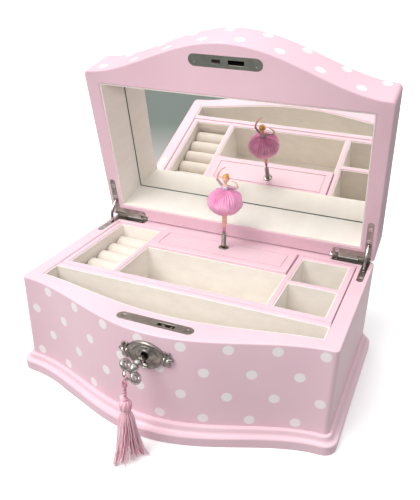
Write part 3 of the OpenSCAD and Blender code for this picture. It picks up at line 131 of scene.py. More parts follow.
class Mat:
    """A material and short ways to add nodes to it."""

    def __init__(self, name, **sockets):
        self.m = bpy.data.materials.new(name)
        self.m.use_nodes = True
        self.t = self.m.node_tree
        self.shader = self.t.nodes["Principled BSDF"]
        for k, v in sockets.items():
            self.shader.inputs[k.replace("_", " ")].default_value = v

    def node(self, kind, **inputs):
        n = self.t.nodes.new("ShaderNode" + kind)
        for k, v in inputs.items():
            n.inputs[k.replace("_", " ")].default_value = v
        return n

    def link(self, a, b):
        self.t.links.new(a, b)

    def coords(self, which="Object"):
        return self.node("TexCoord").outputs[which]

    def mapped(self, vector, scale=(1, 1, 1), rotation=(0, 0, 0), location=(0, 0, 0), kind="POINT"):
        n = self.node("Mapping", Scale=scale, Rotation=rotation, Location=location)
        n.vector_type = kind
        self.link(vector, n.inputs["Vector"])
        return n.outputs["Vector"]

    def parts(self, vector):
        """The x, y and z of a vector."""
        n = self.node("SeparateXYZ")
        self.link(vector, n.inputs[0])
        return n.outputs

    def tone(self):
        """The shade that each point of a mesh carries."""
        n = self.node("Attribute")
        n.attribute_name = "tone"
        return n.outputs["Fac"]

    def noise(self, vector, scale, detail=2.0, rough=0.5):
        n = self.node("TexNoise", Scale=scale, Detail=detail, Roughness=rough)
        self.link(vector, n.inputs["Vector"])
        return n.outputs["Fac"]

    def wave(self, vector, scale, distortion, axis, detail=0.0):
        n = self.node("TexWave", Scale=scale, Distortion=distortion, Detail=detail)
        n.bands_direction = axis
        self.link(vector, n.inputs["Vector"])
        return n.outputs["Fac"]

    def ramp(self, fac, stops):
        """Colours along fac; each stop is a place and a hex colour."""
        n = self.node("ValToRGB")
        el = n.color_ramp.elements
        while len(el) < len(stops):
            el.new(0.5)
        for e, (p, c) in zip(el, stops):
            e.position, e.color = p, lin(c)
        self.link(fac, n.inputs["Fac"])
        return n.outputs["Color"]

    def spread(self, fac, low, high):
        n = self.node("MapRange", To_Min=low, To_Max=high)
        self.link(fac, n.inputs["Value"])
        return n.outputs["Result"]

    def math(self, op, a, b=None, clamp=False):
        n = self.node("Math")
        n.operation = op
        n.use_clamp = clamp
        for i, v in enumerate((a, b)):
            if v is None:
                continue
            if isinstance(v, (int, float)):
                n.inputs[i].default_value = v
            else:
                self.link(v, n.inputs[i])
        return n.outputs[0]

    def mix(self, fac, a, b):
        n = self.node("Mix")
        n.data_type = "RGBA"
        self.link(fac, n.inputs["Factor"])
        for socket, v in ((n.inputs[6], a), (n.inputs[7], b)):
            if isinstance(v, tuple):
                socket.default_value = v
            else:
                self.link(v, socket)
        return n.outputs[2]

    def bump(self, height, strength, distance, normal=None):
        n = self.node("Bump", Strength=strength, Distance=distance)
        self.link(height, n.inputs["Height"])
        if normal is not None:
            self.link(normal, n.inputs["Normal"])
        return n.outputs["Normal"]

    def out(self, colour=None, rough=None, normal=None):
        for name, v in (("Base Color", colour), ("Roughness", rough), ("Normal", normal)):
            if v is not None:
                self.link(v, self.shader.inputs[name])
        return self.m


# ---- camera, floor and light ----
# the camera, solved from the corners of the rim, plinth and lid: pixels of the picture, then millimetres
PICTURE_W, PICTURE_H, SENSOR = 420, 500, 36
FOCAL, CENTRE_X, CENTRE_Y = 593.68, 225.07, 273.18
CAMERA_AT = Vector((168.8, -398.4, 311.3))
CAMERA_RIGHT, CAMERA_UP = Vector((0.9292, 0.3684, 0.0285)), Vector((-0.1958, 0.4257, 0.8834))

# the sky is bright overhead and dim at the horizon, so upright faces are a little darker than level ones
SKY_FROM, SKY_STRENGTH = (-0.25, 0.2, 0.95), 1.12
SKY = ((0.0, (0.22, 0.22, 0.23, 1)), (0.35, (0.5, 0.5, 0.51, 1)), (0.8, (1, 1, 1, 1)))

# the floor's half width and own glow, and what it throws back on diffuse surfaces
FLOOR_HALF, FLOOR_GLOW, FLOOR_BOUNCE = 40.0, 0.16, (0.46, 0.44, 0.45, 1)
# what glossy surfaces see of the floor: beside the box, and past a reach in metres the grey of a studio
GLINT_NEAR, GLINT_FAR, GLINT_REACH = (0.8, 0.77, 0.75, 1), (0.27, 0.31, 0.29, 1), (0.18, 0.3)


def look():
    cam = bpy.data.cameras.new("camera")
    cam.sensor_width = SENSOR
    cam.lens = FOCAL * SENSOR / PICTURE_H
    cam.shift_x = -(CENTRE_X - PICTURE_W / 2) / PICTURE_H
    cam.shift_y = (CENTRE_Y - PICTURE_H / 2) / PICTURE_H
    cam.clip_start, cam.clip_end = 0.01, 120
    o = put("camera", cam)
    right = CAMERA_RIGHT.normalized()
    back = right.cross(CAMERA_UP).normalized()
    m = Matrix((right, back.cross(right).normalized(), back)).transposed().to_4x4()
    m.translation = CAMERA_AT * MM
    o.matrix_world = m
    SCENE.camera = o


def lamp(name, kind, place, aim, energy, size=0.0, angle=0, colour=(1, 1, 1)):
    light = bpy.data.lights.new(name, kind)
    light.energy = energy
    light.color = colour
    if kind == "AREA":
        light.size = size
    elif kind == "SUN":
        light.angle = math.radians(angle)
    else:
        light.spot_size, light.spot_blend, light.shadow_soft_size = math.radians(angle), 1.0, size
    o = put(name, light)
    o.location = place
    o.rotation_euler = (Vector(aim) - Vector(place)).to_track_quat("-Z", "Y").to_euler()
    o.visible_glossy = kind != "SPOT"


def sky():
    world = bpy.data.worlds.new("studio")
    SCENE.world = world
    world.use_nodes = True
    t = world.node_tree
    coords = t.nodes.new("ShaderNodeTexCoord")
    dot = t.nodes.new("ShaderNodeVectorMath")
    dot.operation = "DOT_PRODUCT"
    dot.inputs[1].default_value = SKY_FROM
    ramp = t.nodes.new("ShaderNodeValToRGB")
    ramp.color_ramp.elements.new(0.5)
    for e, (place, colour) in zip(ramp.color_ramp.elements, SKY):
        e.position, e.color = place, colour
    t.links.new(coords.outputs["Generated"], dot.inputs[0])
    t.links.new(dot.outputs["Value"], ramp.inputs[0])
    t.links.new(ramp.outputs[0], t.nodes["Background"].inputs["Color"])
    t.nodes["Background"].inputs["Strength"].default_value = SKY_STRENGTH


def floor():
    """A white floor that looks dimmer to the rays that bounce off the box."""
    mesh = bpy.data.meshes.new("floor")
    s = FLOOR_HALF
    mesh.from_pydata([(-s, -s, 0), (s, -s, 0), (s, s, 0), (-s, s, 0)], [], [(0, 1, 2, 3)])
    m = Mat("floor_white", Base_Color=(0.95, 0.95, 0.95, 1), Roughness=0.9, Specular_IOR_Level=0.1,
            Emission_Color=(1, 1, 1, 1), Emission_Strength=FLOOR_GLOW)
    path = m.node("LightPath")
    far = m.node("MapRange", From_Min=GLINT_REACH[0], From_Max=GLINT_REACH[1])
    m.link(path.outputs["Ray Length"], far.inputs["Value"])
    glint = m.node("Emission")
    m.link(m.mix(far.outputs[0], GLINT_NEAR, GLINT_FAR), glint.inputs["Color"])
    seen = m.shader.outputs[0]
    for flag, other in (("Is Diffuse Ray", m.node("Emission", Color=FLOOR_BOUNCE)), ("Is Glossy Ray", glint)):
        mix = m.node("MixShader")
        for i, source in enumerate((path.outputs[flag], seen, other.outputs[0])):
            m.link(source, mix.inputs[i])
        seen = mix.outputs[0]
    m.link(seen, m.t.nodes["Material Output"].inputs["Surface"])
    mesh.materials.append(m.m)
    put("floor", mesh)
    SCENE.view_settings.view_transform = "Standard"


look()
sky()
floor()
lamp("key", "SUN", (-0.45, -0.62, 1.3), (0, 0, 0), 1.72, angle=35, colour=(1, 0.995, 0.985))
lamp("softbox", "AREA", (-0.5, -0.7, 0.75), (0, -0.05, 0.08), 1.2, size=0.5)
lamp("lid_fill", "SPOT", (0.32, -0.72, 0.5), (-0.05, 0.07, 0.19), 18.0, size=0.12, angle=22)


# ---- materials ----
# the lid's pink is a darker copy of the case's pink for the whole lid: painted shade
PINK, LID_SHADED_PINK = ("edc9d4", "f0cfd9"), ("e6c2cd", "eac9d4")
DOT_WHITE = lin("faf3f4")
# painted shade: the lid's outer face, which looks up to the sky and the sun, goes halfway to this darker pink
BAND_SHADE_PINK = lin("dcb0be")
# the dots' lattice on each face: one dot's x and z, the pitch along x and the pitch along z
DOTS = {"front": (118.7, 79.5, 31.2, 40.0), "lid": (100.6, 96.5, 30.6, 39.0)}
# the dots' radius and soft edge in millimetres, and how squarely a face looks out to carry them
DOT_R, DOT_SOFT, DOT_FACING = 3.7, 0.7, 0.3


def paper(name, dots=None, tint=PINK):
    """Satin paper over board; dots is "front" or "lid" for the polka dots on that outer face, which on the
    lid is also darkened as painted shade.
    """
    m = Mat(name, Coat_Weight=0.18, Coat_Roughness=0.22)
    p = m.coords()
    colour = m.ramp(m.noise(p, 22, 3), [(0.3, tint[0]), (0.7, tint[1])])
    if dots:
        q, nrm = p, m.coords("Normal")
        if dots == "lid":
            turn = (math.radians(LID_OPEN), 0, 0)
            q = m.mapped(p, rotation=turn, location=tuple(CLOSED_M.translation))
            nrm = m.mapped(nrm, rotation=turn, kind="VECTOR")
        place = m.parts(q)
        facing = m.math("MULTIPLY", m.parts(nrm)[1], -1)
        x0, z0, pitch_x, pitch_z = DOTS[dots]
        x = m.math("SUBTRACT", place[0], x0 * MM)
        z = m.math("SUBTRACT", place[2], z0 * MM)
        steep = m.math("MAXIMUM", facing, DOT_FACING)

        def off(v, pitch, shift):
            """How far v is from the nearest line of the lattice, in millimetres."""
            t = m.math("ADD", m.math("DIVIDE", v, pitch * MM), shift)
            return m.math("MULTIPLY", m.math("SUBTRACT", t, m.math("ROUND", t)), pitch)

        found = None
        for shift in (0.0, 0.5):
            du = m.math("DIVIDE", off(x, pitch_x, shift), steep)
            dv = off(z, pitch_z, shift)
            d = m.math("SQRT", m.math("ADD", m.math("MULTIPLY", du, du), m.math("MULTIPLY", dv, dv)))
            found = d if found is None else m.math("MINIMUM", found, d)
        # print with slightly soft edges, on the outer face alone
        edge = m.math("ADD", found, m.math("MULTIPLY", m.noise(p, 700, 2), 0.3))
        dot = m.math("SUBTRACT", 1.0, m.math("DIVIDE", m.math("SUBTRACT", edge, DOT_R), DOT_SOFT), clamp=True)
        outer = m.math("GREATER_THAN", facing, DOT_FACING)
        # painted shade on the lid's outer face
        if dots == "lid":
            colour = m.mix(m.math("MULTIPLY", outer, 0.5), colour, BAND_SHADE_PINK)
        dot = m.math("MULTIPLY", m.math("MULTIPLY", dot, outer), 0.97)
        colour = m.mix(dot, colour, DOT_WHITE)
    rough = m.spread(m.noise(p, 90, 3), 0.36, 0.48)
    grain = m.bump(m.noise(p, 1500, 3, 0.6), 0.10, 0.00012)
    normal = m.bump(m.noise(p, 35, 2), 0.05, 0.0006, grain)
    return m.out(colour, rough, normal)


def flock(name, a, b, sheen=0.35):
    """Short-piled lining."""
    m = Mat(name, Sheen_Weight=sheen, Sheen_Roughness=0.45)
    p = m.coords()
    brushed = m.noise(m.mapped(p, scale=(1, 0.35, 2.2)), 70, 4, 0.6)
    fine = m.noise(p, 2600, 2, 0.7)
    colour = m.ramp(brushed, [(0.25, a), (0.75, b)])
    colour = m.mix(m.math("MULTIPLY", fine, 0.25), colour, lin("dcd1c4"))
    rough = m.spread(fine, 0.82, 0.98)
    return m.out(colour, rough, m.bump(fine, 0.35, 0.00018, m.bump(brushed, 0.08, 0.0004)))


def metal(name, a, b, low, high, stretch=(1, 1, 1), coarse=160, strength=0.06):
    """Plated or brushed metal; stretch gives the direction of the brushing."""
    m = Mat(name, Metallic=1.0)
    p = m.coords()
    stain = m.noise(p, coarse, 4, 0.6)
    lines = m.noise(m.mapped(p, scale=stretch), 900, 3, 0.7)
    colour = m.ramp(stain, [(0.25, a), (0.8, b)])
    rough = m.spread(lines, low, high)
    return m.out(colour, rough, m.bump(lines, strength, 0.00008))


def moulded(name, a, b, rough=0.4, scale=260, sub=0.0, coat=0.0):
    """Painted or moulded plastic."""
    m = Mat(name, Coat_Weight=coat, Coat_Roughness=0.2, Subsurface_Weight=sub, Subsurface_Scale=0.002)
    p = m.coords()
    cloud = m.noise(p, scale, 3)
    fine = m.noise(p, 3200, 2)
    return m.out(m.ramp(cloud, [(0.3, a), (0.75, b)]), m.spread(fine, rough - 0.06, rough + 0.08),
                 m.bump(fine, 0.08, 0.00006))


def threads(name, a, b):
    """Silky thread with a fine lay."""
    m = Mat(name, Sheen_Weight=0.55, Sheen_Roughness=0.3)
    p = m.coords()
    line = m.wave(p, 900, 1.5, "Z", 1.0)
    cloud = m.noise(p, 210, 3)
    colour = m.mix(m.math("MULTIPLY", line, 0.35), m.ramp(cloud, [(0.25, a), (0.8, b)]), lin(a))
    return m.out(colour, m.spread(line, 0.5, 0.72), m.bump(line, 0.3, 0.00012))


PAPER = paper("pink_paper")
PAPER_FRONT = paper("pink_paper_front", "front")
PAPER_LID = paper("pink_paper_lid_shaded", "lid", LID_SHADED_PINK)
LINING = flock("cream_lining", "ece5dc", "f7f1e9")
# painted light: the lid's lining is a lighter copy of the cream lining, for the lid's shaded inside
LID_LINING_LIT = flock("cream_lid_lining_lit", "f4eee4", "fbf7f0")
ROLL_FLOCK = flock("ring_roll_flock", "dbd1c6", "eae1d7", 0.5)
FELT = flock("base_felt_felt", "d9cec6", "e6dcd5", 0.2)
NICKEL = metal("nickel_plate", "a8a29c", "cbc5bf", 0.24, 0.38, (0.08, 1, 1))
NICKEL_BRIGHT = metal("nickel_bright", "b8b3ae", "e4e0dc", 0.14, 0.26)
# a darker nickel for the hinge leaves, hook bolt and spindle ring
NICKEL_DARK = metal("nickel_darker", "8b8580", "b5afa8", 0.26, 0.42)
BRASS = metal("brass_parts", "b08a3e", "d1ad62", 0.24, 0.4)
STEEL = metal("comb_steel", "8f9296", "b9bbbe", 0.2, 0.34, (1, 0.06, 1))
# near black, for the painted shade in the strike plate's holes
HOLE_SHADE = moulded("painted_hole_shade", "1b1716", "2a2523", 0.7)
SKIN = moulded("skin_paint", "e9a797", "f5c3b2", 0.42, 300, 0.12)
SATIN = moulded("bodice_satin", "b6a0b8", "dccbdc", 0.3, 500, 0.0, 0.3)
SLIPPER = moulded("slipper_paint", "c0689a", "d684ac", 0.32, 300, 0.0, 0.2)
HAIR = moulded("hair_paint", "c8893f", "e8b869", 0.4, 520)


def net(name, a, b, fold):
    """Gathered net: a fine mesh over a soft colour, with painted shade in its folds."""
    m = Mat(name, Sheen_Weight=0.5, Sheen_Roughness=0.3)
    p = m.coords()
    cloud = m.noise(p, 150, 4, 0.6)
    weave = m.math("MULTIPLY", m.wave(p, 760, 0.6, "Z"), m.wave(p, 760, 0.6, "X"))
    base = m.ramp(cloud, [(0.3, a), (0.72, b)])
    # painted shade: darker towards the fold colour where the tone marks the creases and the hem
    colour = m.mix(m.math("MULTIPLY", m.tone(), 0.75, clamp=True), base, lin(fold))
    colour = m.mix(m.math("MULTIPLY", weave, 0.22), colour, lin(fold))
    return m.out(colour, m.spread(weave, 0.55, 0.8), m.bump(weave, 0.35, 0.00015, m.bump(cloud, 0.4, 0.0005)))


# the last colour of each net is the painted shade of its folds
TULLE = net("tutu_net", "e393be", "f6b9d6", "c9699b")
TULLE_DEEP = net("tutu_core_net", "d9639f", "ea84b8", "a94a7c")
THREAD = threads("tassel_thread", "e096ab", "f6bccb")
THREAD_PALE = threads("tassel_head_thread", "eaa9ba", "fbd3dd")
NICKEL_PLATE = metal("nickel_pressed", "837c77", "b9b1ab", 0.22, 0.36, (0.3, 1, 1), 240)
KEY_NICKEL = metal("key_nickel", "a39d98", "dcd7d2", 0.13, 0.25, (1, 0.15, 1), 300)
SLEEVE = moulded("sleeve_satin", "9f8090", "c6a9b4", 0.35, 500, 0.0, 0.2)
EYE_WHITE = moulded("eye_white", "efe6e0", "fbf6f2", 0.3, 900)
IRIS = moulded("iris_paint", "3a2a22", "5b4434", 0.25, 900)
BROW = moulded("brow_paint", "7b4f2c", "98683c", 0.45, 900)
LIPS = moulded("lip_paint", "b94a55", "cf6a70", 0.35, 900)


def strand_thread():
    """Silky strands, lighter outside and towards their tips as painted light, from the tone each carries."""
    m = Mat("tassel_strand_thread", Sheen_Weight=0.5, Sheen_Roughness=0.35)
    p = m.coords()
    colour = m.ramp(m.tone(), [(0.05, "e48aa5"), (0.5, "fdbacb"), (0.95, "ffeaf0")])
    fine = m.wave(p, 1100, 2.0, "DIAGONAL", 1.0)
    return m.out(colour, m.spread(fine, 0.42, 0.62), m.bump(fine, 0.3, 0.0001))


STRANDS = strand_thread()


def mirror_glass():
    m = Mat("mirror_glass", Metallic=1.0)
    p = m.coords()
    haze = m.noise(p, 24, 3)
    return m.out(m.ramp(haze, [(0.2, "f4f4f1"), (0.9, "faf9f6")]), m.spread(haze, 0.012, 0.03))


MIRROR = mirror_glass()
GLASS_EDGE = moulded("mirror_edge", "3f4844", "58625d", 0.3)


# ---- meshes ----
def turn(n):
    """n angles, evenly round a circle."""
    return [2 * math.pi * i / n for i in range(n)]


def made(name, verts, faces, material, body, angle=40, node=None):
    """An object from verts in millimetres; it rides a body, and may stand for a CAD node."""
    mesh = bpy.data.meshes.new(name)
    mesh.from_pydata([tuple(Vector(v) * MM) for v in verts], [], faces)
    mesh.validate()
    mesh.update()
    mesh.materials.append(material)
    mesh.shade_smooth()
    mesh.set_sharp_from_angle(angle=math.radians(angle))
    o = put(name, mesh)
    if body:
        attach(o, body)
    if node:
        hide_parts(node)
    return o


def shaded(o, tones):
    """Give each point of a mesh its shade, which the materials read as tone."""
    o.data.attributes.new("tone", "FLOAT", "POINT").data.foreach_set("value", tones)


def paired(rows):
    """Rows that start with a place across, those off the middle given again for the other side."""
    return [(s * x, *rest) for x, *rest in rows for s in ((1, -1) if x else (1,))]


def grid(rings, caps=False):
    """Verts and faces of a skin over closed rings of equal count."""
    n = len(rings[0])
    verts = [v for ring in rings for v in ring]
    faces = []
    for k in range(len(rings) - 1):
        for i in range(n):
            a, b = k * n + i, k * n + (i + 1) % n
            faces.append((a, b, b + n, a + n))
    if caps:
        faces.append(tuple(range(n))[::-1])
        faces.append(tuple(range((len(rings) - 1) * n, len(rings) * n)))
    return verts, faces


def hoop(steps, sides, point):
    """Verts and faces of a ring; point(a, b) is a place at angle a round it and b round its section."""
    verts, faces = [], []
    for i, a in enumerate(turn(steps)):
        for k, b in enumerate(turn(sides)):
            verts.append(point(a, b))
            j, m = (i + 1) % steps, (k + 1) % sides
            faces.append((i * sides + k, j * sides + k, j * sides + m, i * sides + m))
    return verts, faces


def catmull(points, steps):
    """Points along a smooth curve through points, which may hold radii as a fourth number."""
    pts = [np.array(p, float) for p in points]
    pts = [2 * pts[0] - pts[1]] + pts + [2 * pts[-1] - pts[-2]]
    out = []
    for i in range(1, len(pts) - 2):
        a, b, c, d = pts[i - 1:i + 3]
        for s in range(steps):
            t = s / steps
            out.append(0.5 * (2 * b + (c - a) * t + (2 * a - 5 * b + 4 * c - d) * t * t
                              + (3 * b - a - 3 * c + d) * t ** 3))
    return [tuple(map(float, p)) for p in out + [pts[-2]]]


def tube(points, sides=12, squash=1.0, ref=(0, 1, 0), domed=True):
    """Verts and faces of a tube through (x, y, z, radius) points, its ends domed or flat."""
    rings = []
    n = len(points)
    side = None
    for i, p in enumerate(points):
        d = Vector(points[min(i + 1, n - 1)][:3]) - Vector(points[max(i - 1, 0)][:3])
        d.normalize()
        base = side if side is not None else d.cross(Vector(ref))
        u = base - d * base.dot(d)
        if u.length < 1e-6:
            u = d.orthogonal()
        u.normalize()
        side = u
        v = d.cross(u)
        c = Vector(p[:3])
        rings.append([c + p[3] * (math.cos(a) * u + squash * math.sin(a) * v) for a in turn(sides)])
    if domed:
        domes = []
        for ring, tip, before in ((rings[0], points[0], points[1]), (rings[-1], points[-1], points[-2])):
            c = sum(ring, Vector()) / sides
            d = (Vector(tip[:3]) - Vector(before[:3])).normalized()
            domes.append([[c + (v - c) * math.sqrt(1 - f * f) + d * tip[3] * f * 0.8 for v in ring]
                          for f in (0.5, 0.85)])
        rings = domes[0][::-1] + rings + domes[1]
    return grid(rings, True)


def merged(parts):
    """Several (verts, faces) as one."""
    verts, faces = [], []
    for v, f in parts:
        n = len(verts)
        verts += list(v)
        faces += [tuple(i + n for i in g) for g in f]
    return verts, faces


# ---- rounded copies of CAD pieces ----
# points nearer than WELD metres are one, and what is within NEAR millimetres of a level lies on it
WELD, NEAR = 3e-6, 0.02
# the hinges' cuts in the back rim: their depth behind the barrels and at the corners, and the corners' width
BARREL_CUT, CORNER_CUT, CORNER_W = 1.25, 2.85, 3
# how far in from its sides the music cover's outer edge is looked for, short of its groove
COVER_EDGE = 3
# the fittings' edges: points nearer than this are one, and edges sharper than this angle are broken
EDGE_WELD, EDGE_ANGLE = 0.005, math.radians(40)


def welded(nodes):
    bm = bmesh.new()
    for n in nodes:
        bm.from_mesh(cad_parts[n].data)
    bmesh.ops.remove_doubles(bm, verts=bm.verts, dist=WELD)
    return bm


def rounded(name, nodes, material, body, pick=None, width=0, drop=None, angle=34, flat=0.04):
    """A copy of CAD nodes without the faces that drop() names, and with the edges pick() names rounded."""
    bm = welded(nodes)
    if drop:
        bmesh.ops.delete(bm, geom=[f for f in bm.faces if drop(f)], context="FACES_ONLY")
        bmesh.ops.remove_doubles(bm, verts=bm.verts, dist=WELD)
    bmesh.ops.recalc_face_normals(bm, faces=bm.faces)
    if flat:
        bmesh.ops.dissolve_limit(bm, angle_limit=math.radians(flat), verts=bm.verts, edges=bm.edges)
    bm.normal_update()
    if pick:
        edges = [e for e in bm.edges if len(e.link_faces) == 2 and pick(e)]
        bmesh.ops.bevel(bm, geom=edges, offset=width * MM, segments=3, profile=0.5,
                        affect="EDGES", clamp_overlap=False, offset_type="OFFSET")
    bmesh.ops.recalc_face_normals(bm, faces=bm.faces)
    bm.normal_update()
    for f in bm.faces:
        f.smooth = True
    for e in bm.edges:
        e.smooth = len(e.link_faces) == 2 and e.calc_face_angle() < math.radians(angle)
    mesh = bpy.data.meshes.new(name)
    bm.to_mesh(mesh)
    bm.free()
    mesh.materials.append(material)
    o = put(name, mesh)
    o.modifiers.new("weighted", "WEIGHTED_NORMAL").keep_sharp = True
    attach(o, body)
    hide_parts(*nodes)


def height_of(face, m):
    zs = [(m @ v.co).z for v in face.verts]
    return max(zs) - min(zs)


def rim_pick(z, tall, m=Matrix.Identity(4), keep=lambda p: True, up=1):
    """Edges at height z between a face that looks up and an upright face at least tall high."""
    rot = m.to_3x3()
    scaled = Matrix.Scale(1 / MM, 4)

    def pick(e):
        a, b = (scaled @ (m @ v.co.to_4d()).to_3d() for v in e.verts)
        if abs(a.z - z) > NEAR or abs(b.z - z) > NEAR or not keep((a + b) / 2):
            return False
        n = [(rot @ f.normal) for f in e.link_faces]
        flat = [i for i in (0, 1) if n[i].z * up > 0.99]
        side = [i for i in (0, 1) if abs(n[i].z) < 0.1]
        if len(flat) != 1 or len(side) != 1:
            return False
        return height_of(e.link_faces[side[0]], scaled @ m) > tall
    return pick


def joint_face(f):
    """Faces hidden inside the glued corners of the case."""
    ys = [v.co.y / MM for v in f.verts]
    xs = [abs(v.co.x) / MM for v in f.verts]
    for y in (yb(BACK_T), yb(CASE_D - FRONT_T)):
        if all(abs(q - y) < NEAR for q in ys) and min(xs) > INNER - NEAR:
            return True
    return False


def away_from_hinges(p):
    return not (p.y > BACK_Y - BARREL_CUT or (p.y > BACK_Y - CORNER_CUT and abs(p.x) > CASE_HALF - CORNER_W))


def groove_side(p):
    """The cover's outer edge alone, and not the groove line in its top."""
    return (abs(p.x) > high("music_cover", 0) - COVER_EDGE or p.y > high("music_cover", 1) - COVER_EDGE
            or p.y < low("music_cover", 1) + COVER_EDGE)


WALL_TOP = max((CLOSED_M @ v.co).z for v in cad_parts["lid_frame"].data.vertices)


def glued_face(f):
    """Faces of the lid's top that lie on its frame."""
    return all(abs((CLOSED_M @ v.co).z - WALL_TOP) < NEAR * MM for v in f.verts)


rounded("case_shell", ["case_front", "case_left", "case_right", "case_back"], PAPER_FRONT, "case",
        rim_pick(RIM, 10, keep=away_from_hinges), 1.3, drop=joint_face)
rounded("lid_shell", ["lid_frame"], PAPER_LID, "lid",
        rim_pick(LID_Z, 10, CLOSED_M, away_from_hinges, up=-1), 1.3)
rounded("tray_shell", ["tray"], PAPER, "case", rim_pick(RIM, 3), 0.8)
rounded("partition_shell", ["bin_partition"], PAPER, "case", rim_pick(RIM, 10), 0.9)
rounded("cover_shell", ["music_cover"], PAPER, "case", rim_pick(COVER_TOP, 1.2, keep=groove_side), 0.7)
rounded("plinth_shell", ["plinth"], PAPER, "case", angle=28, flat=0)
rounded("lid_cap", ["lid_top"], PAPER_LID, "lid", drop=glued_face, angle=35, flat=0)

# the look of each CAD piece that is seen as it is
LOOKS = (
    (FELT, "base_felt"), (PAPER, "bin_floor"), (LINING, "bin_lining tray_lining"), (LID_LINING_LIT, "lid_lining"),
    (MIRROR, "lid_mirror"), (STEEL, "comb winding_arbor"),
    (NICKEL, "strike_plate lock_plate bedplate_screws comb_screws winding_key spring_cap"),
    (NICKEL_BRIGHT, "strike_screws lock_plate_screws hinge_pins stay_left stay_right case_leaf_screws"
                    " lid_leaf_screws escutcheon_pins"),
    (NICKEL_DARK, "case_leaf_left case_leaf_right lid_leaf_left lid_leaf_right hook_bolt"),
    (BRASS, "lock_case bedplate mainspring_barrel pin_cylinder governor_fan"),
)
for material, names in LOOKS:
    for node_name in names.split():
        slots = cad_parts[node_name].data.materials
        slots.clear()
        slots.append(material)

# the width in millimetres that each fitting's edges are broken by
EDGES = ((0.16, "case_leaf_left case_leaf_right lid_leaf_left lid_leaf_right"),
         (0.2, "stay_left stay_right hinge_pins"), (0.18, "strike_plate lock_plate"),
         (0.3, "winding_key"), (0.15, "bedplate"), (0.12, "spring_cap"))
for node_name, width in [(n, width) for width, names in EDGES for n in names.split()]:
    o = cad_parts[node_name]
    weld = o.modifiers.new("weld", "WELD")
    weld.merge_threshold = EDGE_WELD * MM
    edge = o.modifiers.new("edge", "BEVEL")
    edge.width = width * MM
    edge.segments = 2
    edge.limit_method = "ANGLE"
    edge.angle_limit = EDGE_ANGLE
    edge.harden_normals = True


# ---- ring rolls, mirror edge and spring ----
def ring_rolls():
    """Five flocked bars side by side, each full at the top and rounded at its ends."""
    (x0, y0, z0), (x1, y1, z1) = ([float(c) / MM for c in p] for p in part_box("ring_rolls"))
    count, sides, steps, end_r = 5, 26, 34, 2.6
    r = (y1 - y0) / count / 2
    waist = z1 - r
    parts = []
    for i in range(count):
        yc = y0 + r * (2 * i + 1)
        rings = []
        for s in range(steps + 1):
            x = x0 + (x1 - x0) * (1 - math.cos(math.pi * s / steps)) / 2
            gap = min(x - x0, x1 - x, end_r) / end_r
            full = 0.5 + 0.5 * math.sqrt(1 - (1 - gap) ** 2)
            ring = []
            for a in turn(sides):
                c, d = math.cos(a), math.sin(a)
                soft = 1 - 0.022 * (1 + noise.noise(Vector((x * 0.22, i * 7.0, a))))
                if d >= 0:
                    ring.append((x, yc + r * full * soft * c, waist + r * full * soft * d ** 0.9))
                else:
                    wide = math.copysign(abs(c) ** 0.45, c)
                    ring.append((x, yc + r * full * soft * wide, waist + (waist - z0) * d))
            rings.append(ring)
        parts.append(grid(rings, True))
    made("ring_roll_pads", *merged(parts), ROLL_FLOCK, "case", 60, "ring_rolls")


def lid_piece(name, skin, material):
    """A piece drawn on the shut lid, turned open with it."""
    made(name, [OPENED @ Vector(v) for v in skin[0]], skin[1], material, "lid", 20)


def strip(a, b, width, z, depth, inward):
    """A thin flat bar from a to b, width wide towards inward, on the lid's inner face at height z."""
    n = Vector((*inward, 0)) * width
    section = ((0, 0), (0.15, -depth), (0.85, -depth), (1, 0))
    return grid([[(*(Vector((*p, 0)) + n * k).xy, z + h) for k, h in section] for p in (a, b)], True)


def mirror_edge():
    """The dark line of the glass's edge, where it meets the lining."""
    lap, lip = 0.9, 10.3
    half, y0, y1 = INNER - lap, yb(CASE_D - lip - lap), yb(BACK_T + lap)
    z = min((CLOSED_M @ v.co).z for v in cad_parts["lid_mirror"].data.vertices) / MM - 0.01
    corners = [(-half, y0), (half, y0), (half, y1), (-half, y1)]
    sides = ((0, 1, (0, 1)), (2, 3, (0, -1)), (3, 0, (1, 0)), (1, 2, (-1, 0)))
    bars = [strip(corners[i], corners[j], 1.1, z, 0.1, inward) for i, j, inward in sides]
    lid_piece("mirror_edge_line", merged(bars), GLASS_EDGE)


def strike_holes():
    """Dark pieces for painted shade: at the bottom of the strike plate's blind hole, and on the walls of the
    hook's mortise.
    """
    def oblong(x0, x1, half, h):
        return [(x, PLATE_Y + y, h) for x, y in ((x0, -half), (x1, -half), (x1, half), (x0, half))]

    floor_rings = [oblong(-10.7, -3.9, 1.5, LID_Z + h) for h in (1.5, 3.5)]
    lid_piece("strike_hole_shade", grid(floor_rings, True), HOLE_SHADE)
    wall, x0, x1, half, below, above = 0.1, -3.7, 16.4, 2.1, LID_Z + 1.3, LID_Z + 8.9
    inside = [oblong(x0 + wall, x1 - wall, half - wall, h) for h in (above - wall, below)]
    outside = [oblong(x0, x1, half, h) for h in (below, above)]
    lid_piece("strike_mortise_shade", grid(inside + outside, True), HOLE_SHADE)


def spring():
    """The close-coiled spring that the figure folds on."""
    z0, z1 = low("figure_spring", 2), high("figure_spring", 2)
    wire, r, turns, per = 0.27, 1.85, 19, 16
    rise = z1 - z0 - 2 * wire
    points = [(r * math.cos(2 * math.pi * i / per), FIG_Y + r * math.sin(2 * math.pi * i / per),
               z0 + wire + rise * i / (turns * per), wire) for i in range(turns * per + 1)]
    coil = made("spring_coil", *tube(points, 6, ref=(0, 0, 1)), NICKEL, None, 80, "figure_spring")
    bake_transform(coil)


# ---- escutcheon ----
PLATE_W, PLATE_H = 33.0, 22.0
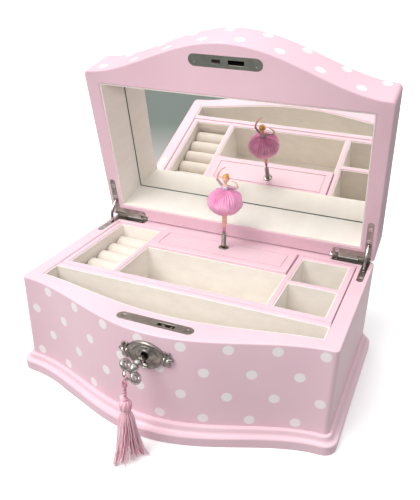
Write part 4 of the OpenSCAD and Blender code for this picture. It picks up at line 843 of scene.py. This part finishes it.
# height of the plate above the case, from the keyhole's edge (0) to the outline (1)
PLATE_RISE = ((0, 0.05), (0, 1.1), (0.03, 1.75), (0.09, 2.1), (0.16, 1.9), (0.21, 1.25), (0.28, 1.0),
              (0.36, 1.05), (0.41, 1.5), (0.47, 1.72), (0.53, 1.5), (0.57, 1.02), (0.66, 0.85),
              (0.75, 0.95), (0.8, 1.6), (0.86, 2.05), (0.92, 2.05), (0.97, 1.5), (1, 0.75), (1, 0.05))


def lens_r(a):
    """Distance from the keyhole to the plate's outline, two arcs, in direction a."""
    arc = ((PLATE_W / 2) ** 2 + (PLATE_H / 2) ** 2) / PLATE_H
    drop = arc - PLATE_H / 2
    s = abs(math.sin(a))
    return math.sqrt(arc ** 2 - drop ** 2 * (1 - s * s)) - drop * s


def keyhole_r(a):
    """Distance from the keyhole's middle to its edge: a round hole over a slot."""
    c, s = abs(math.cos(a)), math.sin(a)
    slot = min(1.3 / max(c, 1e-6), 6.5 / max(-s, 1e-6)) if s < 0 else 0
    return max(2.7, min(slot, 6.5))


# the leaves at each end: their angle, length and thickness
LEAVES = paired(((0, 5.6, 1.25), (33, 5.8, 1.15), (68, 5.4, 1.0)))
LEAF_X, BOSS_X = 14.9, 14.6


def leaf(s, deg, length, r):
    """One leaf, curling out from the plate's end on side s."""
    bead = []
    for k in range(10):
        t = k / 9
        curl = math.radians(deg) + math.copysign(0.5 * t * t, deg) * (deg != 0)
        x = s * (LEAF_X + length * t * math.cos(curl))
        rr = r * (0.45 + 0.6 * math.sin(math.pi * min(t * 0.72 + 0.12, 1)) + 0.25 * t)
        bead.append((x, front_at(x) - 0.35 - 0.75 * rr, KEY_Z + length * t * math.sin(curl), rr))
    return tube(bead)


def escutcheon():
    """A pressed lens-shaped plate in concentric mouldings, with a fan of leaves at each end."""
    n = 168
    rings = []
    for share, h in PLATE_RISE:
        ring = []
        for a in turn(n):
            k = keyhole_r(a)
            r = k + (lens_r(a) - k) * share
            x = r * math.cos(a)
            ring.append((x, front_at(x) - h, KEY_Z + r * math.sin(a)))
        rings.append(ring)
    verts, faces = grid(rings)
    last = (len(rings) - 1) * n
    faces += [(last + i, last + (i + 1) % n, (i + 1) % n, i) for i in range(n)]
    parts = [(verts, faces)]
    for s in (-1, 1):
        parts += [leaf(s, *row) for row in LEAVES]
        x = s * BOSS_X
        boss = [(x, front_at(x) - h, KEY_Z, r) for h, r in ((0.3, 1.9), (1.4, 1.9), (2.2, 1.6), (2.6, 0.9))]
        parts.append(tube(boss, 20))
    made("escutcheon_plate", *merged(parts), NICKEL_PLATE, "case", 50, "escutcheon")


# ---- key ----
def key_point(along, across, thick):
    """A point of the bow: along from its tip, across its face, and through its thickness."""
    c, s = math.cos(BOW_LEAN), math.sin(BOW_LEAN)
    return (-across * s + thick * c, KEY_TIP + along, KEY_Z + across * c + thick * s)


# the bow's rings: place along the key and across it, outer radius, hole and half thickness
BOW_RINGS = ((7.92, 5.7, 4.7, 1.4, 1.75), (7.92, -5.7, 4.7, 1.4, 1.75), (4.1, 0, 4.1, 2.26, 1.35))
# the turned shank: distance from the bow's tip and radius
SHANK = ((7.4, 0.5), (7.8, 1.3), (8.6, 2.0), (9.6, 2.9), (10.7, 3.45), (11.8, 3.6), (12.9, 3.3), (13.8, 2.6),
         (14.4, 2.2), (15.0, 2.25), (15.7, 2.75), (16.4, 3.15), (17.3, 3.3), (18.2, 3.15), (18.8, 2.7),
         (19.3, 2.25), (20.4, 2.2), (20.9, 2.5), (21.5, 2.62), (22.1, 2.5), (22.6, 2.2))
# the shank's open end: distance before the end and radius, outside and then up the bore
SHANK_END = ((0.3, 2.2), (0, 2.0), (0, 1.4), (4, 1.35))
BIT_T, BIT_HALF, BIT_DROP, BIT_ROOT = 0.9, 1.3, 5, 1.6


def bow_ring(along, across, outer, hole, half_t):
    """A ring of the bow, rounded all round."""
    def point(a, b):
        r = (outer + hole) / 2 + (outer - hole) / 2 * math.cos(b)
        return key_point(along + r * math.cos(a), across + r * math.sin(a), half_t * math.sin(b))
    return hoop(48, 16, point)


def key():
    """A three-ringed bow on a turned and collared shank with a bit."""
    parts = [bow_ring(*row) for row in BOW_RINGS]
    for sign in (-1, 1):
        ball = [(*key_point(7.2 + 3.4 * t, sign * (1.5 + 1.2 * t), 0), 1.3) for t in (0, 0.5, 1)]
        parts.append(tube(ball, 14))
    end = high("front_key", 1) - KEY_TIP
    turned = SHANK + tuple((end - y, r) for y, r in SHANK_END)
    parts.append(tube([(0, KEY_TIP + y, KEY_Z, r) for y, r in turned], 40, domed=False))
    corners = ((-BIT_T, -BIT_HALF), (BIT_T, -BIT_HALF), (BIT_T, BIT_HALF), (-BIT_T, BIT_HALF))
    bit = [[(x, PLATE_Y + y, KEY_Z - h) for x, y in corners] for h in (BIT_DROP, BIT_ROOT)]
    parts.append(grid(bit, True))
    made("key_of_lock", *merged(parts), KEY_NICKEL, "key", 50, "front_key")


# ---- tassel ----
TASSEL_X, KNOT_Y = middle("tassel_skirt", 0), middle("tassel_skirt", 1)
HEAD_TOP, NECK_Z = high("tassel_head", 2), low("tassel_head", 2) + 3
CORD_R, CORD_LAY, KNOT_DROP = 0.6, 5.6, 7.4
# half of the cord's way round the bow's bar, from the key's middle line
CORD_OVER = [(-0.9, -1.45, -5.0), (-0.75, -2.3, -2.4), (0.1, -2.5, -0.2), (1.3, -1.6, 1.35), (1.85, 0, 1.75)]
# the head's radius from its crown to its neck, with the height as a share
EGG = ((0.5, 1.0), (1.5, 0.98), (2.0, 0.9), (1.9, 0.84), (2.7, 0.78), (3.8, 0.66), (4.35, 0.5), (4.3, 0.34),
       (3.7, 0.2), (3.1, 0.1), (2.9, 0.04), (2.9, -0.06))
STRANDS_N, GOLDEN = 140, 2.39996
# where the skirt splays: the direction and how much farther out
SPLAYS = ((-2.16, 8.5), (-1.13, 8.0), (0.45, 9.0), (2.5, 2.5))


def cord_path():
    """Up from the head, round the bow's end bar and down again, the two strands twisted."""
    off, top, n = CORD_R + 0.03, KEY_Z - KNOT_DROP, 22
    up, down = [], []
    for i in range(n + 1):
        t = i / n
        z = HEAD_TOP - 0.2 + (top - HEAD_TOP + 0.2) * t
        a = -math.pi / 2 + 2 * math.pi * round((top - HEAD_TOP) / CORD_LAY) * (t - 1)
        cx = TASSEL_X + 0.1 * t
        up.append((cx + off * math.cos(a), KNOT_Y + off * math.sin(a), z))
        down.append((cx - off * math.cos(a), KNOT_Y - off * math.sin(a), z))
    loop = CORD_OVER + [(x, -y, z) for x, y, z in CORD_OVER[-2::-1]]
    return catmull(up + [(x, KNOT_Y + y, KEY_Z + z) for x, y, z in loop] + down[::-1], 3)


def strand(rnd, z_end, r_top, r_end, a, radius):
    """One strand, hanging from the neck and swinging out to its end."""
    z_top, full, steps = NECK_Z + 0.6, 2.25 * r_top, 9
    points = []
    bow = rnd.uniform(1.9, 3.0)
    for k in range(steps + 1):
        t = k / steps
        r = r_top + (full - r_top) * (1 - math.exp(-6 * t)) + (r_end - full) * t ** bow
        b = a + 0.42 * math.sin(a * 3 + 2.2) * t + rnd.uniform(-0.05, 0.05)
        wob = 0.22 * math.sin(6.3 * t + a * 5)
        points.append((TASSEL_X + r * math.cos(b) + wob * math.sin(b),
                       KNOT_Y + r * math.sin(b) - wob * math.cos(b),
                       z_top + (z_end - z_top) * t, radius * (1 - 0.25 * t)))
    return tube(points, 5, domed=False)


def ring_of(x, y, z, r, thick, steps=36, sides=8):
    """A level ring of thread."""
    def point(a, b):
        q = r + thick * math.cos(b)
        return x + q * math.cos(a), y + q * math.sin(a), z + thick * math.sin(b)
    return hoop(steps, sides, point)


def tassel_cord():
    path = cord_path()
    length = sum((Vector(b) - Vector(a)).length for a, b in zip(path, path[1:]))
    skin = tube([(*p, CORD_R) for p in path], 12, ref=(1, 0, 0), domed=False)
    cord = made("tassel_loop_cord", *skin, THREAD, None, 80, "tassel_cord")
    path = [[c * MM for c in p] for p in path]
    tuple(path[0])
    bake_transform(cord)
    wraps = [ring_of(TASSEL_X + 0.1, KNOT_Y, KEY_Z - 7.3 + i * 0.9, 1.45, 0.5) for i in range(3)]
    made("tassel_whipping", *merged(wraps), THREAD, "key", 80, "tassel_knot")


def tassel_head():
    """A wrapped egg of thread, bound with four turns at its neck."""
    ridges = 9
    profile = catmull(EGG, 4)
    rings = []
    for k, (r, share) in enumerate(profile):
        t = k / (len(profile) - 1)
        z = NECK_Z + (HEAD_TOP - NECK_Z) * share
        ring = []
        for a in turn(ridges * 12):
            q = r * (1 + 0.06 * math.cos(ridges * a + 9 * t) * math.sin(math.pi * t))
            ring.append((TASSEL_X + q * math.cos(a), KNOT_Y + q * math.sin(a), z))
        rings.append(ring)
    binding = [ring_of(TASSEL_X, KNOT_Y, NECK_Z + 0.1 + 0.72 * i, 3.12 + 0.1 * math.sin(i * 2.1), 0.42)
               for i in range(4)]
    made("tassel_bulb", *merged([grid(rings, True)] + binding), THREAD_PALE, "tassel", 80, "tassel_head")


def tassel_skirt():
    rnd = random.Random(5)
    strands, tones = [], []
    for i in range(STRANDS_N):
        share = math.sqrt((i + 0.5) / STRANDS_N)
        a = i * GOLDEN + rnd.uniform(-0.1, 0.1)
        reach = 6.6 + sum(extra * max(0, math.cos(a - at)) ** 6 for at, extra in SPLAYS)
        r_end = (reach + rnd.uniform(-1.2, 1.4)) * share ** 0.8
        z_end = 0.5 + 3.2 * rnd.random() ** 2 + (1 - share) * 1.0
        strands.append(strand(rnd, z_end, 2.9 * share, r_end, a, rnd.uniform(0.38, 0.52)))
        # painted light and shade: strands lighter the farther out they hang, and each lighter towards its tip
        light = 0.2 + 0.5 * share ** 2 + rnd.uniform(-0.3, 0.3)
        tones += [light + 0.2 * (k // 5) / 9 for k in range(len(strands[-1][0]))]
    shaded(made("tassel_strands", *merged(strands), STRANDS, "tassel", 80, "tassel_skirt"), tones)


def collar():
    """The turned ring that the spindle comes up through."""
    profile = ((1.8, -1.5), (4.35, -1.5), (4.35, 0.05), (4.5, 0.12), (4.5, 0.35), (4.3, 0.6), (3.4, 0.85),
               (2.6, 0.95), (2.35, 0.8), (2.3, 0.3), (1.8, 0.3), (1.8, -1.5))
    rings = [[(r * math.cos(a), FIG_Y + r * math.sin(a), COVER_TOP + h) for a in turn(56)]
             for r, h in profile]
    made("spindle_ring", *grid(rings), NICKEL_DARK, "case", 35, "spindle_collar")


ring_rolls()
mirror_edge()
strike_holes()
spring()
collar()
escutcheon()
key()
tassel_cord()
tassel_head()
tassel_skirt()


# ---- dancer ----
HEAD = Vector((0, FIG_Y - 0.1, TOES + 47.6))
# where the upper body starts, and how far its heights are drawn down so that the waist sits in the net
WAIST, DRAWN = 0.66, 0.72
# half a leg, a slipper and its ribbons: x from the middle, forward, up from the toes, radius
LEG = ((0.5, 0, 2.9, 0.72), (0.55, 0, 4.6, 0.8), (0.72, -0.15, 7.4, 1.12), (0.86, -0.22, 10.2, 1.32),
       (0.92, -0.05, 13.0, 1.16), (0.95, 0.12, 15.0, 1.22), (1.05, 0.05, 18.0, 1.42), (1.3, 0, 22.5, 1.65),
       (1.5, 0, 26, 1.7))
SHOE = ((0.42, 0.1, 0.05, 0.6), (0.42, 0.12, 0.5, 0.78), (0.46, 0.1, 1.4, 0.9), (0.5, 0, 2.4, 0.92),
        (0.52, 0, 3.2, 0.84))
RIBBONS = ((3.3, 0.86), (4.0, 0.87), (4.75, 0.88))
# rows of the bodice and of the bare shoulders: height, half width, half depth, forward
BODICE = ((0.60, 2.6, 2.2, 0), (0.64, 2.32, 1.95, 0), (0.662, 2.22, 1.85, 0), (0.69, 2.4, 1.98, 0.05),
          (0.72, 2.75, 2.2, 0.15), (0.75, 3.05, 2.4, 0.3), (0.772, 3.1, 2.38, 0.32), (0.79, 3.0, 2.15, 0.22),
          (0.8, 2.88, 1.98, 0.15), (0.803, 2.7, 1.8, 0.1))
BARE = ((0.765, 2.6, 1.9, 0.1), (0.79, 2.85, 1.9, 0.08), (0.81, 3.0, 1.72, 0), (0.825, 2.7, 1.5, -0.05),
        (0.838, 1.9, 1.25, -0.08), (0.85, 1.25, 1.05, -0.1), (0.87, 1.0, 0.98, -0.1), (0.9, 1.0, 1.0, -0.05))
STRAP = ((2.0, 2.0, 0.775), (2.25, 1.75, 0.805), (2.35, 0.6, 0.832), (2.2, -1.0, 0.818), (1.9, -1.7, 0.785))
# each arm from shoulder to wrist, as the legs; its first four points carry the sleeve
ARMS = (((-2.2, 0, 40.9, 1.15), (-4.0, 0.4, 42.6, 1.1), (-6.0, 0.8, 44.9, 0.98), (-7.2, 1.1, 46.6, 0.95),
         (-7.1, 1.3, 48.9, 0.9), (-5.6, 1.5, 52.3, 0.78), (-3.6, 1.7, 55.3, 0.62), (-1.5, 1.8, 57.0, 0.5)),
        ((2.2, 0, 40.9, 1.15), (4.6, 0.3, 40.9, 1.1), (7.6, 0.7, 40.9, 1.0), (9.9, 1.0, 41.2, 0.98),
         (10.9, 1.3, 42.6, 0.9), (10.5, 1.5, 44.7, 0.75), (9.2, 1.7, 46.1, 0.6), (7.8, 1.8, 46.5, 0.5)))
FINGERS = (1.15, 1.35, 1.3, 1.05)


def up(share):
    """The height of a share of the upper body."""
    return TOES + FIG_H * (WAIST + (share - WAIST) * DRAWN)


def at(x, y, z, r=None):
    """A point of the dancer, y measured forward from its axis."""
    p = (x, FIG_Y - y, z)
    return p if r is None else (*p, r)


def limb(points, side=1):
    """A smooth curve through points given from the toes, on one side of the body."""
    return catmull([at(side * x, y, TOES + z, r) for x, y, z, r in points], 5)


def legs():
    made("dancer_legs", *merged([tube(limb(LEG, s), 18) for s in (-1, 1)]), SKIN, "figure", 70, "figure_legs")
    shoes = []
    for s in (-1, 1):
        shoes.append(tube(limb(SHOE, s), 18))
        for k, (z, r) in enumerate(RIBBONS):
            tilt = 0.25 * (1 if k % 2 else -1)
            ring, faces = ring_of(0, 0, 0, r - 0.02, 0.11, 24, 6)
            shoes.append(([at(s * 0.54 + x, y, TOES + z + h + tilt * x) for x, y, h in ring], faces))
    made("dancer_slippers", *merged(shoes), SLIPPER, "figure", 70)


def loft(rows, steps, sides):
    """A skin over smoothed level ovals: height, half width, half depth, forward shift."""
    return grid([[at(w * math.cos(a), f - d * math.sin(a), up(z)) for a in turn(sides)]
                 for z, w, d, f in catmull(rows, steps)], True)


def torso():
    """A fitted bodice with a scooped neckline, straps, and the bare shoulders and neck above it."""
    verts, faces = loft(BODICE, 3, 40)
    top = up(0.78)
    scooped = []
    for x, y, z in verts:
        front = max(0, (FIG_Y - y) / 2.4)
        scooped.append((x, y, z - (0.9 * front * max(0, 1 - abs(x) / 1.9) if z > top else 0)))
    parts = [(scooped, faces)]
    for s in (-1, 1):
        path = catmull([at(s * x, y, up(z)) for x, y, z in STRAP], 5)
        parts.append(tube([(*p, 0.2) for p in path], 8))
    waist = [(*at(2.38 * math.cos(a), 2.0 * math.sin(a), up(0.668)), 0.2) for a in [*turn(30), 2 * math.pi]]
    parts.append(tube(waist, 6))
    made("dancer_bodice", *merged(parts), SATIN, "figure", 60, "figure_bodice")
    made("dancer_shoulders", *loft(BARE, 4, 36), SKIN, "figure", 60)


def arm(path):
    """An arm with a rounded elbow and a hand with its fingers together."""
    parts = [tube(catmull(path, 6), 14)]
    a, b = Vector(path[-2][:3]), Vector(path[-1][:3])
    d = (b - a).normalized()
    across = d.cross(Vector((0, 1, 0))).normalized()
    palm = [(*(b + d * t), r) for t, r in ((-0.4, 0.42), (0.2, 0.5), (0.8, 0.52), (1.2, 0.44))]
    parts.append(tube(palm, 12, 0.62, tuple(across)))
    for k, length in enumerate(FINGERS):
        off = across * (0.33 - 0.22 * k)
        finger = [(*(b + d * (1.0 + length * t) + off * (1 - 0.35 * t) + Vector((0, 0, -0.18 * t * t))),
                   0.15 - 0.05 * t) for t in (0, 0.35, 0.7, 1)]
        parts.append(tube(finger, 7))
    thumb = [(*(b + d * (0.3 + 0.8 * t) + across * (-0.45 - 0.25 * t)), 0.17 - 0.05 * t) for t in (0, 0.5, 1)]
    parts.append(tube(thumb, 7))
    return parts


def arms():
    paths = [[at(x, y, TOES + z, r) for x, y, z, r in path] for path in ARMS]
    sleeves = [tube([(*p[:3], p[3] + 0.14) for p in catmull(path[:4], 6)], 16) for path in paths]
    made("dancer_sleeves", *merged(sleeves), SLEEVE, "figure", 70)
    made("dancer_arms", *merged(arm(paths[0]) + arm(paths[1])), SKIN, "figure", 70, "figure_arms")


# bumps and hollows of the face: place across and up (shares of the head), spread across and up, depth in mm
FACE = paired(((0, 0.0, 0.13, 0.16, 0.3), (0, -0.12, 0.17, 0.1, 0.42), (0.36, 0.12, 0.2, 0.12, -0.22),
               (0, 0.36, 0.5, 0.16, 0.1), (0.5, -0.15, 0.22, 0.2, 0.12), (0, -0.4, 0.26, 0.08, 0.2),
               (0, -0.3, 0.2, 0.05, -0.08), (0, -0.52, 0.3, 0.06, -0.1), (0, -0.74, 0.28, 0.14, 0.28)))
# lenses on the face, paired where off the middle: place across and up, half width and height, lift, bend
FEATURES = (("dancer_eyes", EYE_WHITE, ((-0.36, 0.11, 0.135, 0.05, 0.022, 0),)),
            ("dancer_irises", IRIS, ((-0.36, 0.108, 0.055, 0.048, 0.034, 0),)),
            ("dancer_brows", BROW, ((-0.37, 0.165, 0.16, 0.012, 0.03, -0.03),
                                    (-0.37, 0.27, 0.18, 0.016, 0.02, -0.04))),
            ("dancer_lips", LIPS, ((0, -0.375, 0.15, 0.028, 0.03, 0.012),
                                   (0, -0.43, 0.12, 0.032, 0.035, 0.01))))
BUN, BUN_R = HEAD + Vector((0, 3.1, 1.9)), (1.5, 1.45, 1.5)


def shape_head(x, f, v, lift=0.0):
    """The head from a unit direction (x across, f forward, v up)."""
    jaw = 1 - 0.3 * max(0, -v - 0.1) ** 1.3
    depth = 0.0
    if f > 0:
        for cx, cv, sx, sv, h in FACE:
            depth += h * math.exp(-((x - cx) / sx) ** 2 - ((v - cv) / sv) ** 2) * min(1, f * 1.6)
    r = 1 + lift
    return HEAD + Vector((2.9 * x * jaw * r, -(2.95 * f * r + depth), 3.6 * v * r))


def face_point(u, v, lift):
    """A point of the face: u across (-1 to 1), v up."""
    w = math.sqrt(max(0.0, 1 - v * v))
    x = u * w
    return shape_head(x, math.sqrt(max(0.0, w * w - x * x)), v, lift)


def ball(make, cols, rows):
    """A skin over make(x, f, v) for directions all round, from the bottom up."""
    rings = []
    for i in range(rows):
        t = math.pi * (i + 0.5) / rows - math.pi / 2
        v, w = math.sin(t), math.cos(t)
        rings.append([tuple(make(w * math.cos(a), w * math.sin(a), v)) for a in turn(cols)])
    return grid(rings, True)


def patch(u, v, wide, tall, lift, bend):
    """A small lens lying on the face."""
    rings = []
    for size, high_by in ((1, 0.0), (0.6, lift)):
        rings.append([tuple(face_point(
            u + size * wide * math.cos(a),
            v + size * tall * math.sin(a) + bend * (size * size) * math.cos(a) ** 2, high_by))
            for a in turn(18)])
    return grid(rings, True)


def hair_cover(x, f, v):
    """How far the hair stands off the head in a direction; below the hairline it sinks in."""
    line = 0.5 - 0.3 * abs(x) if f > 0 else -0.35
    line -= 0.75 * max(0, abs(x) - 0.62) if f > 0 else 0
    t = max(0.0, min(1.0, (v - line) / 0.16 + 0.5))
    sweep = math.atan2(x, 0.35 + v) * 16 + 3 * f
    return -0.12 + 0.21 * t + 0.016 * math.sin(sweep) * t


def bun_point(x, f, v):
    """A wound bun."""
    wound = 1 + 0.05 * math.sin(7 * math.atan2(f, x) + 5 * v)
    return BUN + Vector((BUN_R[0] * x, BUN_R[1] * f, BUN_R[2] * v)) * wound


def head():
    made("dancer_head", *ball(shape_head, 64, 45), SKIN, "figure", 80, "figure_head")
    for name, material, rows in FEATURES:
        made(name, *merged([patch(*row) for row in paired(rows)]), material, "figure", 60)
    cap = ball(lambda x, f, v: shape_head(x, f, v, hair_cover(x, f, v)), 96, 49)
    band = [(*(BUN + Vector((1.25 * math.cos(a), 1.2 * math.sin(a), -1.05))), 0.28)
            for a in [*turn(28), 2 * math.pi]]
    hair = merged([cap, ball(bun_point, 48, 25), tube(band, 8)])
    made("dancer_hair", *hair, HAIR, "figure", 70, "figure_hair")


# ---- tutu ----
TUTU_Z, TUTU_H, TUTU_R = TOES + 17.0, 21.8, 15.3
# each net: material, size, angles of hem and waist from the bottom, seed, gathers, frill, flat cut in metres
NETS = (("tutu_outer_net", TULLE, 1.0, 0.42, math.pi - 0.1, 3, 15, 0.9, (0.125, 0.024)),
        ("tutu_middle_net", TULLE_DEEP, 0.93, 0.5, math.pi - 0.14, 8, 24, 0.9, (0.11, 0.02)),
        ("tutu_inner_net", TULLE_DEEP, 0.8, 0.62, math.pi - 0.2, 13, 27, 0.8, (0.09, 0.017)))


def net_layer(name, material, size, a0, a1, seed, gathers, frill, flat):
    """One gathered net layer: a full ball of net from the waist (a1) down to its hem (a0)."""
    rnd = random.Random(seed)
    waves = [(gathers + rnd.randint(-5, 5), rnd.uniform(0, 6.28), rnd.uniform(0.5, 1)) for _ in range(4)]
    rows, sides = 64, 264
    rings, crease_and_hem_shade = [], []
    for i in range(rows + 1):
        t = i / rows
        a = a0 + (a1 - a0) * t
        r0 = TUTU_R * math.sin(a) ** 0.75 * size
        z = TUTU_Z + TUTU_H / 2 * (1 - size * math.cos(a))
        crease = max(0, (t - 0.36) / 0.64) ** 1.1
        hem = max(0, 1 - t / 0.16) ** 1.4
        ring = []
        for b in turn(sides):
            fold = sum(w * math.sin(n * b + p + 1.1 * math.sin(3 * t + p)) for n, p, w in waves) / 2.6
            sharp = max(0.0, 1 - abs(fold)) ** 0.8
            lump = noise.noise(Vector((2.1 * math.cos(b), 2.1 * math.sin(b), 3.0 * t + seed)))
            ruffle = 26 * b + 2 * math.sin(5 * b)
            r = r0 * (1 + 0.11 * lump) * (1 - 0.34 * crease * sharp ** 1.5) + 0.2 * fold
            r += frill * hem * math.sin(ruffle) * 0.55
            dz = frill * hem * 0.7 * math.cos(ruffle) - 1.0 * crease * sharp
            ring.append((r * math.cos(b), FIG_Y + r * math.sin(b), z + dz + 0.6 * lump))
            # painted shade of the creases and of the hem underneath, for the tone
            crease_and_hem_shade.append(min(1.0, crease * 1.5) * sharp ** 1.5 + 0.35 * hem)
        rings.append(ring)
    layer = made(name, *grid(rings), material, "figure", 80)
    shaded(layer, crease_and_hem_shade)
    return layer


def tutu():
    """The three nets, in place of the CAD piece, which is hidden."""
    outer = [net_layer(*row) for row in NETS][0]
    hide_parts("tutu")


legs()
torso()
arms()
head()
tutu()
